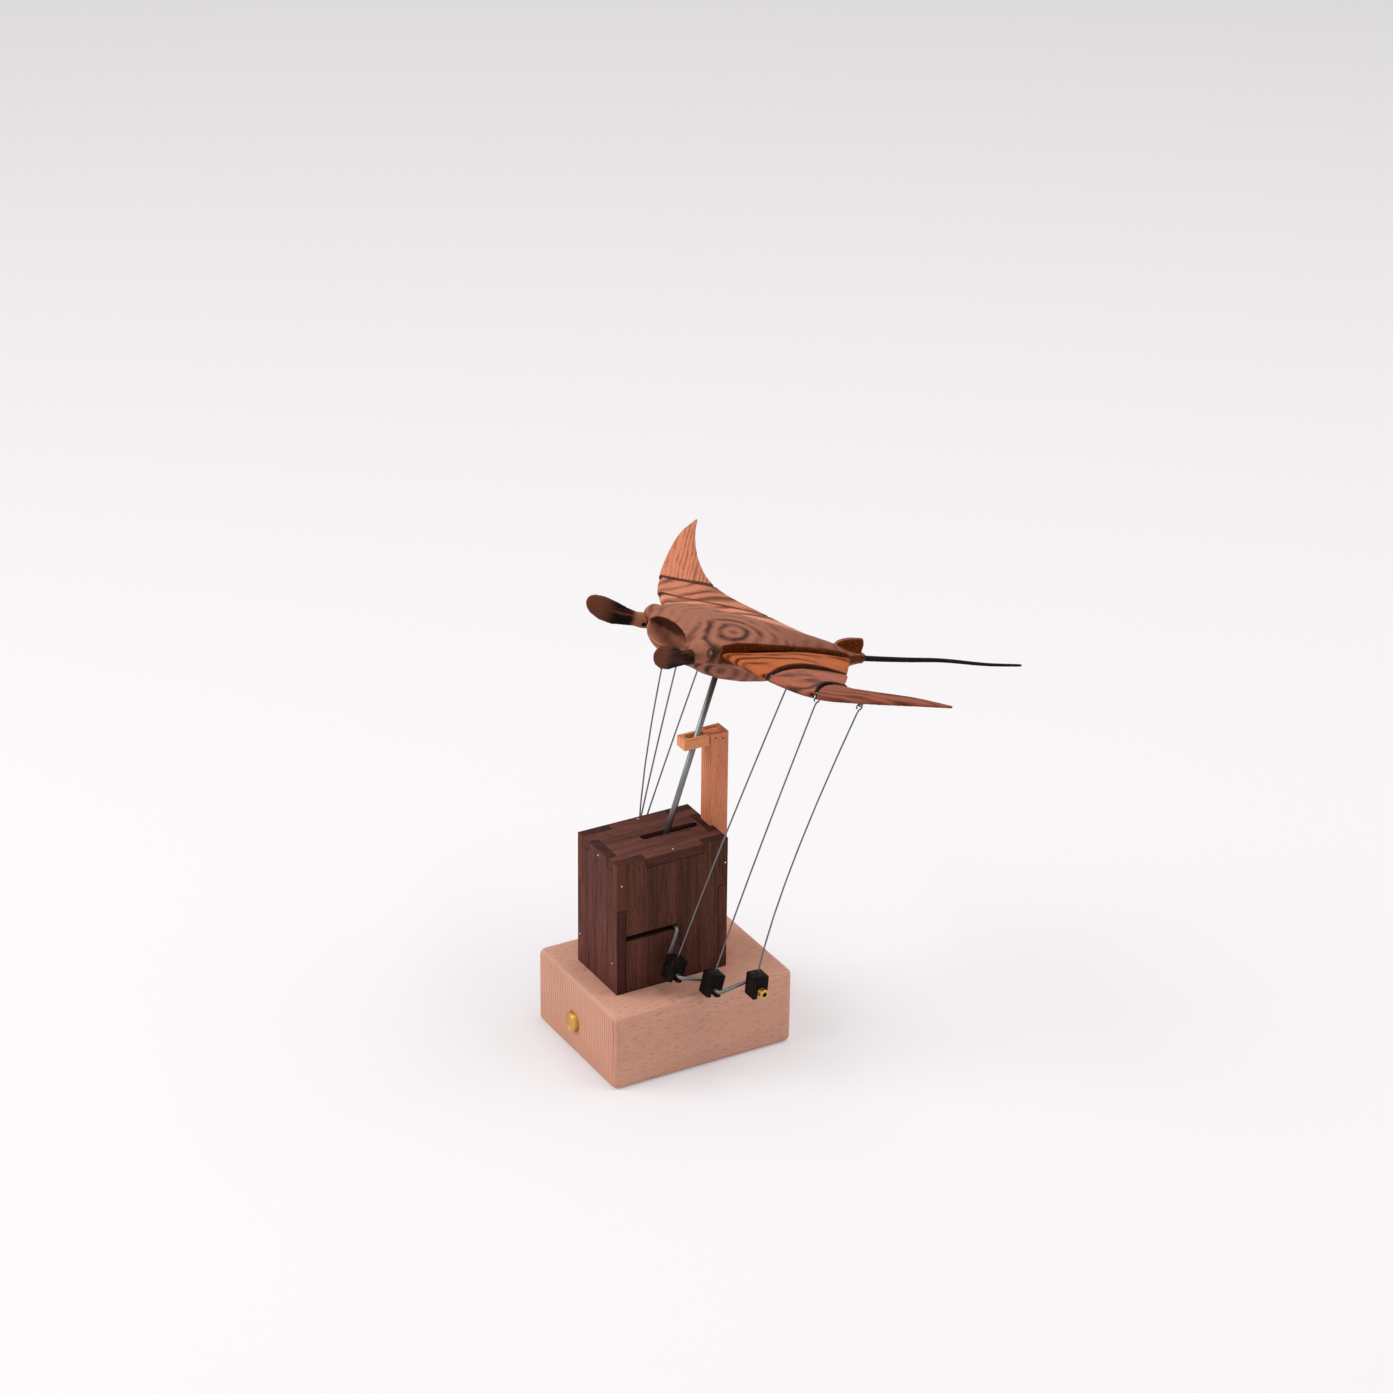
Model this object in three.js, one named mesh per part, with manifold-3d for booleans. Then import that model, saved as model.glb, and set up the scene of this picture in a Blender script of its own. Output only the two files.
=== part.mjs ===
// Kinetic wooden manta ray on a motor driven stand.
// A beech base carries a finger-jointed walnut housing. A bent steel crank crosses the housing,
// and its seven throws lift the ray on a steel rod and flap six wing pieces through thin wires.
// Millimetres, +Z up. X runs across the ray, the head looks along -Y and the tail along +Y.
// The origin is the middle of the base's underside. Left is -X and right is +X.

import * as THREE from 'three';
import { mergeVertices } from 'three/addons/utils/BufferGeometryUtils.js';
import Module from 'manifold-3d';

const wasm = await Module();
wasm.setup();

// Common clearances
const SEAT_GAP = 0.3;
const OVERRUN = 4;
const SIDES = [-1, 1];
const SIDE_NAMES = { '-1': 'left', 1: 'right' };

// Beech base, hollowed from below for the battery and the switch
const BASE_WIDTH = 80;
const BASE_LENGTH = 100;
const BASE_HEIGHT = 40;
const BASE_EDGE_ROUND = 2.6;
const BASE_END_WALL = 12;
const BASE_SIDE_WALL = 12;
const BASE_ROOF = 12;
const COVER_LEDGE = 6;
const COVER_THICKNESS = 2.5;
const CABLE_HOLE_RADIUS = 2.5;
const CABLE_HOLE_X = -9;
const CABLE_HOLE_Y = 10;

// Countersunk screws of the base cover
const SCREW_HEAD_RADIUS = 2.3;
const SCREW_HEAD_DEPTH = 1.5;
const SCREW_SHANK_RADIUS = 1;
const SCREW_LENGTH = 10;

// Push button, its switch and the battery box
const BUTTON_X = -2;
const BUTTON_BELOW_TOP = 22.4;
const BUTTON_RADIUS = 5;
const BUTTON_PROUD = 2;
const BUTTON_LENGTH = 11;
const BUTTON_EDGE = 0.4;
const BUTTON_STEM_RADIUS = 2;
const BUTTON_TRAVEL = 1;
const SWITCH_WIDTH = 13;
const SWITCH_HEIGHT = 12;
const SWITCH_DEPTH = 8;
const SWITCH_WELL_DEPTH = 3;
const BATTERY_FRONT_SPACE = 7;
const BATTERY_REAR_SPACE = 3;
const BATTERY_LEFT_SPACE = 20.5;
const BATTERY_RIGHT_SPACE = 4.5;
const BATTERY_TOP_SPACE = 10;
const BATTERY_BOX_ROUND = 3;

// Walnut housing of five finger-jointed plates
const PLATE = 5;
const HOUSING_WIDTH = 40;
const HOUSING_FRONT = -38;
const HOUSING_BACK = 23.4;
const HOUSING_HEIGHT = 71.5;
const CORNER_FINGER_HEIGHT = 46;
const SIDE_FINGER_FRONT = -22;
const SIDE_FINGER_BACK = 10;
const END_FINGER_LEFT = -8;
const END_FINGER_RIGHT = 10;
const TOP_SLOT_FRONT = -13.9;
const TOP_SLOT_BACK = 17.3;
const TOP_SLOT_WIDTH = 4;
const SHAFT_SLOT_HEIGHT = 2.6;

// Crankshaft: throws listed from the middle outwards, with their radii and phases
const CRANK_Y = -5.8;
const CRANK_ABOVE_BASE = 30;
const CRANK_ROD_RADIUS = 1;
const CRANK_BEND = 2.2;
const THROW_RADIUS = [14, 19.5, 23.5, 30.5];
const THROW_PHASE_SHARES = [-0.3861, -0.3042, -0.2067, -0.115];
const MIDDLE_THROW_HALF_WIDTH = 7;
const FIRST_WEB_X = 22.5;
const THROW_SPACING = 15;
const CRANK_OVERHANG = 0.6;
const COLLAR_RADIUS = 2.3;
const COLLAR_LENGTH = 3.8;
const ROUND_SIDES = 8;
const ARC_STEPS = 4;
const BEND_STEPS = 3;

// Gear drive inside the housing
const GEAR_TEETH = 36;
const PINION_TEETH = 12;
const TOOTH_MODULE = 0.9;
const GEAR_WIDTH = 2.5;
const GEAR_INNER_X = 9.6;
const GEAR_HUB_RADIUS = 4;
const GEAR_HUB_LENGTH = 0.5;
const MOTOR_SHAFT_RADIUS = 1;
const MOTOR_SHAFT_REACH = 3.4;
const MOTOR_WIDTH = 12;
const MOTOR_HEIGHT = 10;
const GEARBOX_LENGTH = 9;
const MOTOR_CAN_LENGTH = 13.7;
const MOTOR_FRONT_X = 8.4;
const MOTOR_ROUND = 1;
const CRADLE_WALL = 1;
const CRADLE_CHEEK_HEIGHT = 10;
const CRADLE_LENGTH = 17;
const BEARING_WIDTH = 2.3;
const BEARING_LENGTH = 12;
const BEARING_HEIGHT = 16;

// Guide post and the fork that steers the rod
const POST_WIDTH = 10;
const POST_FRONT = 22;
const POST_DEPTH = 9.6;
const POST_HEIGHT = 121;
const FORK_WIDTH = 8;
const FORK_REACH = 14;
const FORK_HEIGHT = 5.6;
const FORK_NOSE = 2.6;
const FORK_TONGUE_WIDTH = 5;
const FORK_TONGUE_LENGTH = 7;
const FORK_DROP = 0.5;
const FORK_SLOT_WIDTH = 3.8;

// Main rod and the ebony blocks that ride on the crank
const ROD_RADIUS = 1.5;
const RAY_ABOVE_PIN = 132.7;
const ROD_IN_RAY = 8;
const ROD_BLOCK_DEPTH = 5;
const BLOCK_WIDTH = 7.6;
const BLOCK_DEPTH = 8.3;
const BLOCK_BELOW_PIN = 4.2;
const BLOCK_ABOVE_PIN = 7.8;
const ROD_BLOCK_ABOVE_PIN = 10.4;
const BLOCK_CORNER = 0.5;
const BLOCK_SOCKET_DEPTH = 4;

// Pushrod wires and the screw eyes under the wings
const WIRE_RADIUS = 0.4;
const WIRE_SIDES = 6;
const WIRE_STEPS = 7;
const WIRE_BOW = [2.4, 2.6, 10.5];
const WIRE_BOW_AT_SHARE = 0.4;
const LOOP_RADIUS = 1.5;
const LOOP_SWEEP_DEG = 318;
const LOOP_STEPS = 12;
const EYE_RADIUS = 1.7;
const EYE_NECK = 1.3;
const EYE_SHANK = 2;
const EYE_SPAN_SHARES = [0.17, 0.37, 0.6];
const EYE_CHORD_SHARES = [0.43, 0.5, 0.5];

// Ray's wings: leading and trailing edges at root, two joints, two stations and tip,
// as shares of the wing's reach across, along and up
const WING_REACH = 120;
const LEADING_SHARES = [
  [0.225, -0.175, 0.183], [0.442, -0.078, 0.178], [0.624, 0.032, 0.19],
  [0.767, 0.137, 0.242], [0.912, 0.27, 0.306], [1.002, 0.39, 0.348],
];
const TRAILING_SHARES = [
  [0.05, 0.5875, 0.156], [0.3, 0.405, 0.171], [0.524, 0.252, 0.202],
  [0.692, 0.253, 0.258], [0.871, 0.32, 0.319], [0.997, 0.397, 0.348],
];
const JOINT_STATION_SHARES = [0, 0.2, 0.4, 1];
const JOINT_BOW = [0, 7, 5.5, 0];
const JOINT_BOW_SKEW_SHARE = 0.8;
const ROOT_SWAY = 1.4;
const WING_CREST_START = [5.2, 4.4, 4.2];
const WING_CREST_END = [6, 4.8, 1.4];
const WING_EDGE = [3, 3, 2.8, 1];
const WING_GAP = 0.9;
const WING_TOP_BEVEL = 1;
const CHORD_SHARES = [0, 0.025, 0.1, 0.22, 0.36, 0.5, 0.64, 0.78, 0.9, 0.975, 1];
const WING_STATIONS = [4, 4, 8];
const WING_PIECES = ['inner', 'middle', 'outer'];
const HINGE_PIN_RADIUS = 0.6;
const HINGE_PIN_HEIGHT = 1.5;
const HINGE_PIN_INSET = 1.2;

// Root hinge: a tongue of the inner wing turns on its pin in a pocket of the body's side
const ROOT_PIN_INSET = 2.2;
const ROOT_PIN_SHARES = [0.12, 0.6];
const TONGUE_SHARES = [0.2, 0.52];
const TONGUE_THICKNESS = 2.8;
const TONGUE_PAST_PIN = 2.2;
const TONGUE_IN_WING = 4;
const POCKET_DEPTH_PLAY = 0.8;
const POCKET_RISE_PLAY = 1.3;
const POCKET_END_PLAY = 0.6;

// Ray's body: sections from lower lip to tail root, as shares of its length, half width and depth
const BODY_FRONT = -40.9;
const BODY_REAR = 82;
const BODY_HALF_WIDTH = 28;
const BODY_DEPTH = 33;
const BODY_EDGE_ROUND = 0.6;
const HEAD_STATION_SHARES = [0, 0.0317, 0.0643, 0.105, 0.148];
const HEAD_WIDTH_SHARES = [0.27, 0.52, 0.71, 0.9, 0.985];
const REAR_STATION_SHARES = [0.952, 0.984, 1];
const REAR_WIDTH_SHARES = [0.13, 0.104, 0.095];
// One row a section: crown, edge, foot of the side wall, underside, and the belly's share of the width
const HEAD_HEIGHT_SHARES = [
  [0.62, 0.6, 0.56, 0.5, 0.9], [0.71, 0.66, 0.56, 0.4, 0.9], [0.81, 0.74, 0.56, 0.345, 0.9],
  [0.9, 0.79, 0.56, 0.3, 0.84], [0.965, 0.82, 0.56, 0.25, 0.76],
];
// The flank's sections stand at the wing's chord shares
const FLANK_HEIGHT_SHARES = [
  [0.985, 0.84, 0.55, 0.24, 0.74], [0.99, 0.858, 0.54, 0.22, 0.73], [1, 0.9, 0.53, 0.145, 0.72],
  [1, 0.897, 0.52, 0.085, 0.72], [0.985, 0.876, 0.5, 0.07, 0.74], [0.955, 0.845, 0.48, 0.1, 0.78],
  [0.9, 0.803, 0.46, 0.16, 0.8], [0.845, 0.776, 0.45, 0.24, 0.76], [0.785, 0.75, 0.46, 0.33, 0.7],
  [0.735, 0.709, 0.49, 0.4, 0.7], [0.71, 0.68, 0.5, 0.42, 0.7],
];
const REAR_HEIGHT_SHARES = [
  [0.7, 0.67, 0.57, 0.485, 0.8], [0.69, 0.675, 0.6, 0.52, 0.85], [0.69, 0.68, 0.6, 0.525, 0.85],
];
const CROWN_ACROSS_SHARES = [0.35, 0.65, 0.88];
const CROWN_FALL_SHARES = [0.12, 0.42, 0.8];
const BELLY_STEPS = 5;

// Dorsal fin on the rump: outline along and up
const DORSAL_THICKNESS = 3;
const DORSAL_EDGE = 0.9;
const DORSAL_OUTLINE = [
  [61.5, 22.5], [63, 25.7], [63.9, 27.5], [66.8, 28.9], [71, 29.9], [78.3, 30.3], [79.7, 27],
  [79.5, 22.6], [78.6, 20.4],
];

// Mouth, eye bosses and eyes
const MOUTH_Y = -36;
const MOUTH_Z = 22.4;
const MOUTH_WIDTH = 17;
const MOUTH_DEPTH = 15;
const MOUTH_HEIGHT = 6.2;
const MOUTH_TILT_DEG = 24;
const BOSS_X = 22.5;
const BOSS_Y = -28.6;
const BOSS_Z = 22.4;
const BOSS_RADIUS = 5.8;
const EYE_HOLE_RADIUS = 1.3;
const EYE_HOLE_REACH_SHARE = 0.99;
const EYE_HOLE_TURN_DEG = 20;
const EYE_HOLE_RISE_DEG = 14;
const CARVE_STEPS = 12;

// Head fins: a carved paddle from the boss forwards
const FIN_ROOT = [21.6, -31, 19.4];
const FIN_TIP = [33.4, -61.8, 22.4];
const FIN_HEIGHT = 12.4;
const FIN_THICKNESS = 5.6;
const FIN_STATION_SHARES = [0, 0.12, 0.22, 0.36, 0.55, 0.75, 0.9, 0.97, 1];
const FIN_HEIGHT_SHARES = [0.62, 0.66, 0.6, 0.72, 0.95, 1, 0.8, 0.5, 0.16];
const FIN_THICKNESS_SHARES = [1, 1, 0.82, 0.6, 0.52, 0.48, 0.4, 0.34, 0.2];
const FIN_SAG = 1.6;
const FIN_SIDES = 10;
const FIN_HULL_GAP = 0.7;

// Tail: a tapering dark rod with a slight S
const TAIL_ROOT_RADIUS = 1.65;
const TAIL_TIP_RADIUS = 0.6;
const TAIL_POINTS = [
  [0, 76.5, 20], [0, 84, 20.1], [0, 109, 21.7], [0, 130, 23.4], [0, 158, 23.8], [0, 180, 25.4],
];
const TAIL_STEPS = 20;

// Colours of the woods and metals
const beech = new THREE.MeshStandardMaterial({ color: 0xdcae8c, roughness: 0.6, metalness: 0 });
const walnut = new THREE.MeshStandardMaterial({ color: 0x5a3a2c, roughness: 0.6, metalness: 0 });
const cherry = new THREE.MeshStandardMaterial({ color: 0xc87850, roughness: 0.55, metalness: 0 });
const ebony = new THREE.MeshStandardMaterial({ color: 0x26211f, roughness: 0.5, metalness: 0 });
const zebrano = new THREE.MeshStandardMaterial({ color: 0xb0724a, roughness: 0.45, metalness: 0 });
const darkWood = new THREE.MeshStandardMaterial({ color: 0x6a4630, roughness: 0.5, metalness: 0 });
const steel = new THREE.MeshStandardMaterial({ color: 0x8c8e92, roughness: 0.35, metalness: 1 });
const brass = new THREE.MeshStandardMaterial({ color: 0xd9a23c, roughness: 0.3, metalness: 1 });
const nylon = new THREE.MeshStandardMaterial({ color: 0xe8e4da, roughness: 0.6, metalness: 0 });
const blackPlastic = new THREE.MeshStandardMaterial({ color: 0x202224, roughness: 0.7, metalness: 0 });

const automaton = new THREE.Group();

// Solids: from a closed geometry and back
function toSolid(geometry) {
  const bare = geometry.clone();
  bare.deleteAttribute('normal');
  bare.deleteAttribute('uv');
  const merged = mergeVertices(bare);
  return new wasm.Manifold(new wasm.Mesh({
    numProp: 3,
    vertProperties: new Float32Array(merged.attributes.position.array),
    triVerts: new Uint32Array(merged.index.array),
  }));
}

function toGeometry(solid) {
  const mesh = solid.getMesh();
  const geometry = new THREE.BufferGeometry();
  geometry.setAttribute('position', new THREE.BufferAttribute(mesh.vertProperties, 3));
  geometry.setIndex(new THREE.BufferAttribute(mesh.triVerts, 1));
  geometry.computeVertexNormals();
  return geometry;
}

function cut(geometry, ...tools) {
  return toGeometry(tools.reduce((left, tool) => left.subtract(toSolid(tool)), toSolid(geometry)));
}

function join(geometry, ...others) {
  return toGeometry(others.reduce((whole, other) => whole.add(toSolid(other)), toSolid(geometry)));
}

function addPiece(parent, name, geometry, material) {
  const mesh = new THREE.Mesh(geometry, material);
  mesh.name = name;
  parent.add(mesh);
  return mesh;
}

// Box between two corners
function boxBetween([x0, y0, z0], [x1, y1, z1]) {
  const box = new THREE.BoxGeometry(x1 - x0, y1 - y0, z1 - z0);
  return box.translate((x0 + x1) / 2, (y0 + y1) / 2, (z0 + z1) / 2);
}

// Cylinder from one point to another
function rodBetween(start, end, radius, sides = ROUND_SIDES * 2) {
  const along = new THREE.Vector3().subVectors(end, start);
  const rod = new THREE.CylinderGeometry(radius, radius, along.length(), sides);
  const up = new THREE.Vector3(0, 1, 0);
  rod.applyQuaternion(new THREE.Quaternion().setFromUnitVectors(up, along.clone().normalize()));
  return rod.translate(...new THREE.Vector3().addVectors(start, end).multiplyScalar(0.5).toArray());
}

function outline(points) {
  return new THREE.Shape(points.map(([a, b]) => new THREE.Vector2(a, b)));
}

function straightExtrude(shape, depth) {
  return new THREE.ExtrudeGeometry(shape, { depth, bevelEnabled: false, curveSegments: ARC_STEPS });
}

// Outline in X and Y, raised along Z
function extrudeUp(shape, z0, z1) {
  const block = straightExtrude(shape, z1 - z0);
  return block.translate(0, 0, z0);
}

// Outline in Y and Z, drawn out along X
function extrudeAcross(shape, x0, x1) {
  const block = straightExtrude(shape, x1 - x0);
  const turn = new THREE.Matrix4().makeBasis(
    new THREE.Vector3(0, 1, 0), new THREE.Vector3(0, 0, 1), new THREE.Vector3(1, 0, 0));
  return block.applyMatrix4(turn).translate(x0, 0, 0);
}

// Outline in X and Z, drawn out along Y
function extrudeBack(shape, y0, y1) {
  const block = straightExtrude(shape, y1 - y0);
  return block.rotateX(Math.PI / 2).translate(0, y1, 0);
}

function roundedRectangle(width, height, radius) {
  const a = width / 2 - radius;
  const b = height / 2 - radius;
  const shape = new THREE.Shape();
  shape.absarc(a, b, radius, 0, Math.PI / 2);
  shape.absarc(-a, b, radius, Math.PI / 2, Math.PI);
  shape.absarc(-a, -b, radius, Math.PI, Math.PI * 1.5);
  shape.absarc(a, -b, radius, Math.PI * 1.5, Math.PI * 2);
  return shape;
}

// Closed skin over rings of equal count. Point k of a ring faces point count - k across it.
function loft(rings) {
  const count = rings[0].length;
  const indices = [];
  for (let r = 0; r + 1 < rings.length; r += 1) {
    for (let k = 0; k < count; k += 1) {
      const next = (k + 1) % count;
      const a = r * count;
      const b = a + count;
      indices.push(a + k, a + next, b + next, a + k, b + next, b + k);
    }
  }
  for (const [start, first] of [[0, true], [(rings.length - 1) * count, false]]) {
    for (let k = 0; k < count / 2; k += 1) {
      const quad = [k, k + 1, count - k - 1, (count - k) % count].map((i) => start + i);
      const corners = first ? quad.reverse() : quad;
      if (new Set([corners[0], corners[1], corners[2]]).size === 3) {
        indices.push(corners[0], corners[1], corners[2]);
      }
      if (new Set([corners[0], corners[2], corners[3]]).size === 3) {
        indices.push(corners[0], corners[2], corners[3]);
      }
    }
  }
  const geometry = new THREE.BufferGeometry();
  const positions = rings.flat().flatMap((point) => point.toArray());
  geometry.setAttribute('position', new THREE.Float32BufferAttribute(positions, 3));
  geometry.setIndex(signedVolume(rings.flat(), indices) < 0 ? indices.reverse() : indices);
  geometry.computeVertexNormals();
  return geometry;
}

function signedVolume(points, indices) {
  let volume = 0;
  for (let i = 0; i < indices.length; i += 3) {
    const [a, b, c] = indices.slice(i, i + 3).map((index) => points[index]);
    volume += a.dot(new THREE.Vector3().crossVectors(b, c));
  }
  return volume;
}

// Path that runs straight from each of its points to the next, with a ring at each
class BentPath extends THREE.Curve {
  constructor(points) {
    super();
    this.points = points;
  }

  getPoint(t, target = new THREE.Vector3()) {
    const at = t * (this.points.length - 1);
    const i = Math.min(Math.floor(at), this.points.length - 2);
    return target.lerpVectors(this.points[i], this.points[i + 1], at - i);
  }

  getUtoTmapping(u) {
    return u;
  }
}

// Wire or bar of one thickness along a line of points
function wire(points, radius, sides) {
  const section = outline(Array.from({ length: sides }, (_, k) => {
    const angle = (k / sides) * Math.PI * 2;
    return [radius * Math.cos(angle), radius * Math.sin(angle)];
  }));
  return new THREE.ExtrudeGeometry(section, {
    steps: points.length - 1, extrudePath: new BentPath(points), curveSegments: 1,
  });
}

// Tapering bar along a line of points, its radius given for each
function sweep(points, radiusAt, sides) {
  const normal = new THREE.Vector3(0.31, 0.17, 0.93);
  const rings = points.map((point, i) => {
    const before = points[Math.max(i - 1, 0)];
    const after = points[Math.min(i + 1, points.length - 1)];
    const tangent = new THREE.Vector3().subVectors(after, before).normalize();
    normal.addScaledVector(tangent, -normal.dot(tangent)).normalize();
    const across = new THREE.Vector3().crossVectors(tangent, normal);
    return Array.from({ length: sides }, (_, k) => {
      const angle = (k / sides) * Math.PI * 2;
      return point.clone()
        .addScaledVector(normal, Math.cos(angle) * radiusAt(i))
        .addScaledVector(across, Math.sin(angle) * radiusAt(i));
    });
  });
  return loft(rings);
}

// Straight runs between corners, each corner bent to a small arc
function bentPath(corners, bend) {
  const points = [corners[0]];
  for (let i = 1; i + 1 < corners.length; i += 1) {
    const back = new THREE.Vector3().subVectors(corners[i - 1], corners[i]);
    const on = new THREE.Vector3().subVectors(corners[i + 1], corners[i]);
    const start = corners[i].clone().addScaledVector(back.clone().normalize(), bend);
    const end = corners[i].clone().addScaledVector(on.clone().normalize(), bend);
    points.push(...new THREE.QuadraticBezierCurve3(start, corners[i], end).getPoints(BEND_STEPS));
  }
  return [...points, corners.at(-1)];
}

// Value at a share of the way through a list of evenly or unevenly spaced stations
function between(stations, values, at) {
  const last = stations.length - 2;
  const found = stations.findIndex((station, i) => i > 0 && at <= station);
  const i = found < 0 ? last : found - 1;
  const share = (at - stations[i]) / (stations[i + 1] - stations[i]);
  return THREE.MathUtils.lerp(values[i], values[i + 1], share);
}

const radians = THREE.MathUtils.degToRad;

// Base
const cavityHalfWidth = BASE_WIDTH / 2 - BASE_SIDE_WALL;
const cavityHalfLength = BASE_LENGTH / 2 - BASE_END_WALL;
const cavityTop = BASE_HEIGHT - BASE_ROOF;
const coverHalfWidth = cavityHalfWidth + COVER_LEDGE;
const coverHalfLength = cavityHalfLength + COVER_LEDGE;
const screwX = cavityHalfWidth + COVER_LEDGE / 2;
const screwY = cavityHalfLength + COVER_LEDGE / 2;
const buttonZ = BASE_HEIGHT - BUTTON_BELOW_TOP;
const crankZ = BASE_HEIGHT + CRANK_ABOVE_BASE;
const postTop = BASE_HEIGHT + POST_HEIGHT;

// Screws of the cover: front right and rear left
function screwTool(end, grow) {
  const head = SCREW_HEAD_RADIUS + grow;
  const shank = SCREW_SHANK_RADIUS + grow;
  const profile = [
    [0, 0], [head, 0], [head, grow], [shank, SCREW_HEAD_DEPTH + grow],
    [shank, SCREW_LENGTH + grow], [0, SCREW_LENGTH + grow],
  ];
  const lathe = new THREE.LatheGeometry(profile.map(([r, z]) => new THREE.Vector2(r, z)), ROUND_SIDES * 2);
  return lathe.rotateX(Math.PI / 2).translate(-end * screwX, end * screwY, 0);
}

function buildBase() {
  const plan = roundedRectangle(
    BASE_WIDTH - BASE_EDGE_ROUND * 2, BASE_LENGTH - BASE_EDGE_ROUND * 2, BASE_EDGE_ROUND / 2);
  const block = new THREE.ExtrudeGeometry(plan, {
    depth: BASE_HEIGHT - BASE_EDGE_ROUND * 2,
    bevelThickness: BASE_EDGE_ROUND,
    bevelSize: BASE_EDGE_ROUND,
    bevelSegments: 3,
    curveSegments: 2,
  }).translate(0, 0, BASE_EDGE_ROUND);
  const rebate = boxBetween(
    [-coverHalfWidth, -coverHalfLength, -OVERRUN], [coverHalfWidth, coverHalfLength, COVER_THICKNESS]);
  const cavity = boxBetween(
    [-cavityHalfWidth, -cavityHalfLength, 0], [cavityHalfWidth, cavityHalfLength, cavityTop]);
  const bore = rodBetween(
    new THREE.Vector3(BUTTON_X, -BASE_LENGTH / 2 - OVERRUN, buttonZ),
    new THREE.Vector3(BUTTON_X, -cavityHalfLength + OVERRUN, buttonZ), BUTTON_RADIUS + SEAT_GAP);
  const cableHole = rodBetween(
    new THREE.Vector3(CABLE_HOLE_X, CABLE_HOLE_Y, cavityTop - OVERRUN),
    new THREE.Vector3(CABLE_HOLE_X, CABLE_HOLE_Y, BASE_HEIGHT + OVERRUN), CABLE_HOLE_RADIUS);
  const screwHoles = SIDES.map((end) => screwTool(end, SEAT_GAP));
  addPiece(automaton, 'base_block', cut(block, rebate, cavity, bore, cableHole, ...screwHoles), beech);
}

function buildCover() {
  const plate = boxBetween(
    [-coverHalfWidth + SEAT_GAP, -coverHalfLength + SEAT_GAP, 0],
    [coverHalfWidth - SEAT_GAP, coverHalfLength - SEAT_GAP, COVER_THICKNESS]);
  const holes = SIDES.map((end) => screwTool(end, SEAT_GAP));
  addPiece(automaton, 'base_cover', cut(plate, ...holes), beech);
  addPiece(automaton, 'cover_screw_front', screwTool(-1, 0), steel);
  addPiece(automaton, 'cover_screw_rear', screwTool(1, 0), steel);
}

function buildButton() {
  const face = -BASE_LENGTH / 2 - BUTTON_PROUD;
  const back = face + BUTTON_LENGTH;
  const stemEnd = -cavityHalfLength + SWITCH_WELL_DEPTH - BUTTON_TRAVEL - SEAT_GAP;
  const profile = [
    [0, face], [BUTTON_RADIUS - BUTTON_EDGE, face], [BUTTON_RADIUS, face + BUTTON_EDGE],
    [BUTTON_RADIUS, back], [BUTTON_STEM_RADIUS, back], [BUTTON_STEM_RADIUS, stemEnd], [0, stemEnd],
  ];
  const points = profile.map(([radius, y]) => new THREE.Vector2(radius, y));
  const button = new THREE.LatheGeometry(points, ROUND_SIDES * 3);
  addPiece(automaton, 'power_button', button, brass).position.set(BUTTON_X, 0, buttonZ);
}

function buildSwitch() {
  const front = -cavityHalfLength;
  const body = boxBetween(
    [BUTTON_X - SWITCH_WIDTH / 2, front, buttonZ - SWITCH_HEIGHT / 2],
    [BUTTON_X + SWITCH_WIDTH / 2, front + SWITCH_DEPTH, buttonZ + SWITCH_HEIGHT / 2]);
  const well = rodBetween(
    new THREE.Vector3(BUTTON_X, front - OVERRUN, buttonZ),
    new THREE.Vector3(BUTTON_X, front + SWITCH_WELL_DEPTH, buttonZ), BUTTON_STEM_RADIUS + SEAT_GAP);
  addPiece(automaton, 'power_switch', cut(body, well), blackPlastic);
}

function buildBatteryBox() {
  const front = -cavityHalfLength + SWITCH_DEPTH + BATTERY_FRONT_SPACE;
  const back = cavityHalfLength - BATTERY_REAR_SPACE;
  const left = -cavityHalfWidth + BATTERY_LEFT_SPACE;
  const right = cavityHalfWidth - BATTERY_RIGHT_SPACE;
  const top = cavityTop - BATTERY_TOP_SPACE;
  const section = roundedRectangle(right - left, top - COVER_THICKNESS, BATTERY_BOX_ROUND);
  const box = addPiece(automaton, 'battery_box', extrudeBack(section, front, back), blackPlastic);
  box.position.set((left + right) / 2, 0, (top + COVER_THICKNESS) / 2);
}

// Housing
const housingHalf = HOUSING_WIDTH / 2;
const innerHalf = housingHalf - PLATE;
const innerFront = HOUSING_FRONT + PLATE;
const innerBack = HOUSING_BACK - PLATE;
const housingTop = BASE_HEIGHT + HOUSING_HEIGHT;
const innerTop = housingTop - PLATE;
const fingerZ = BASE_HEIGHT + CORNER_FINGER_HEIGHT;

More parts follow.
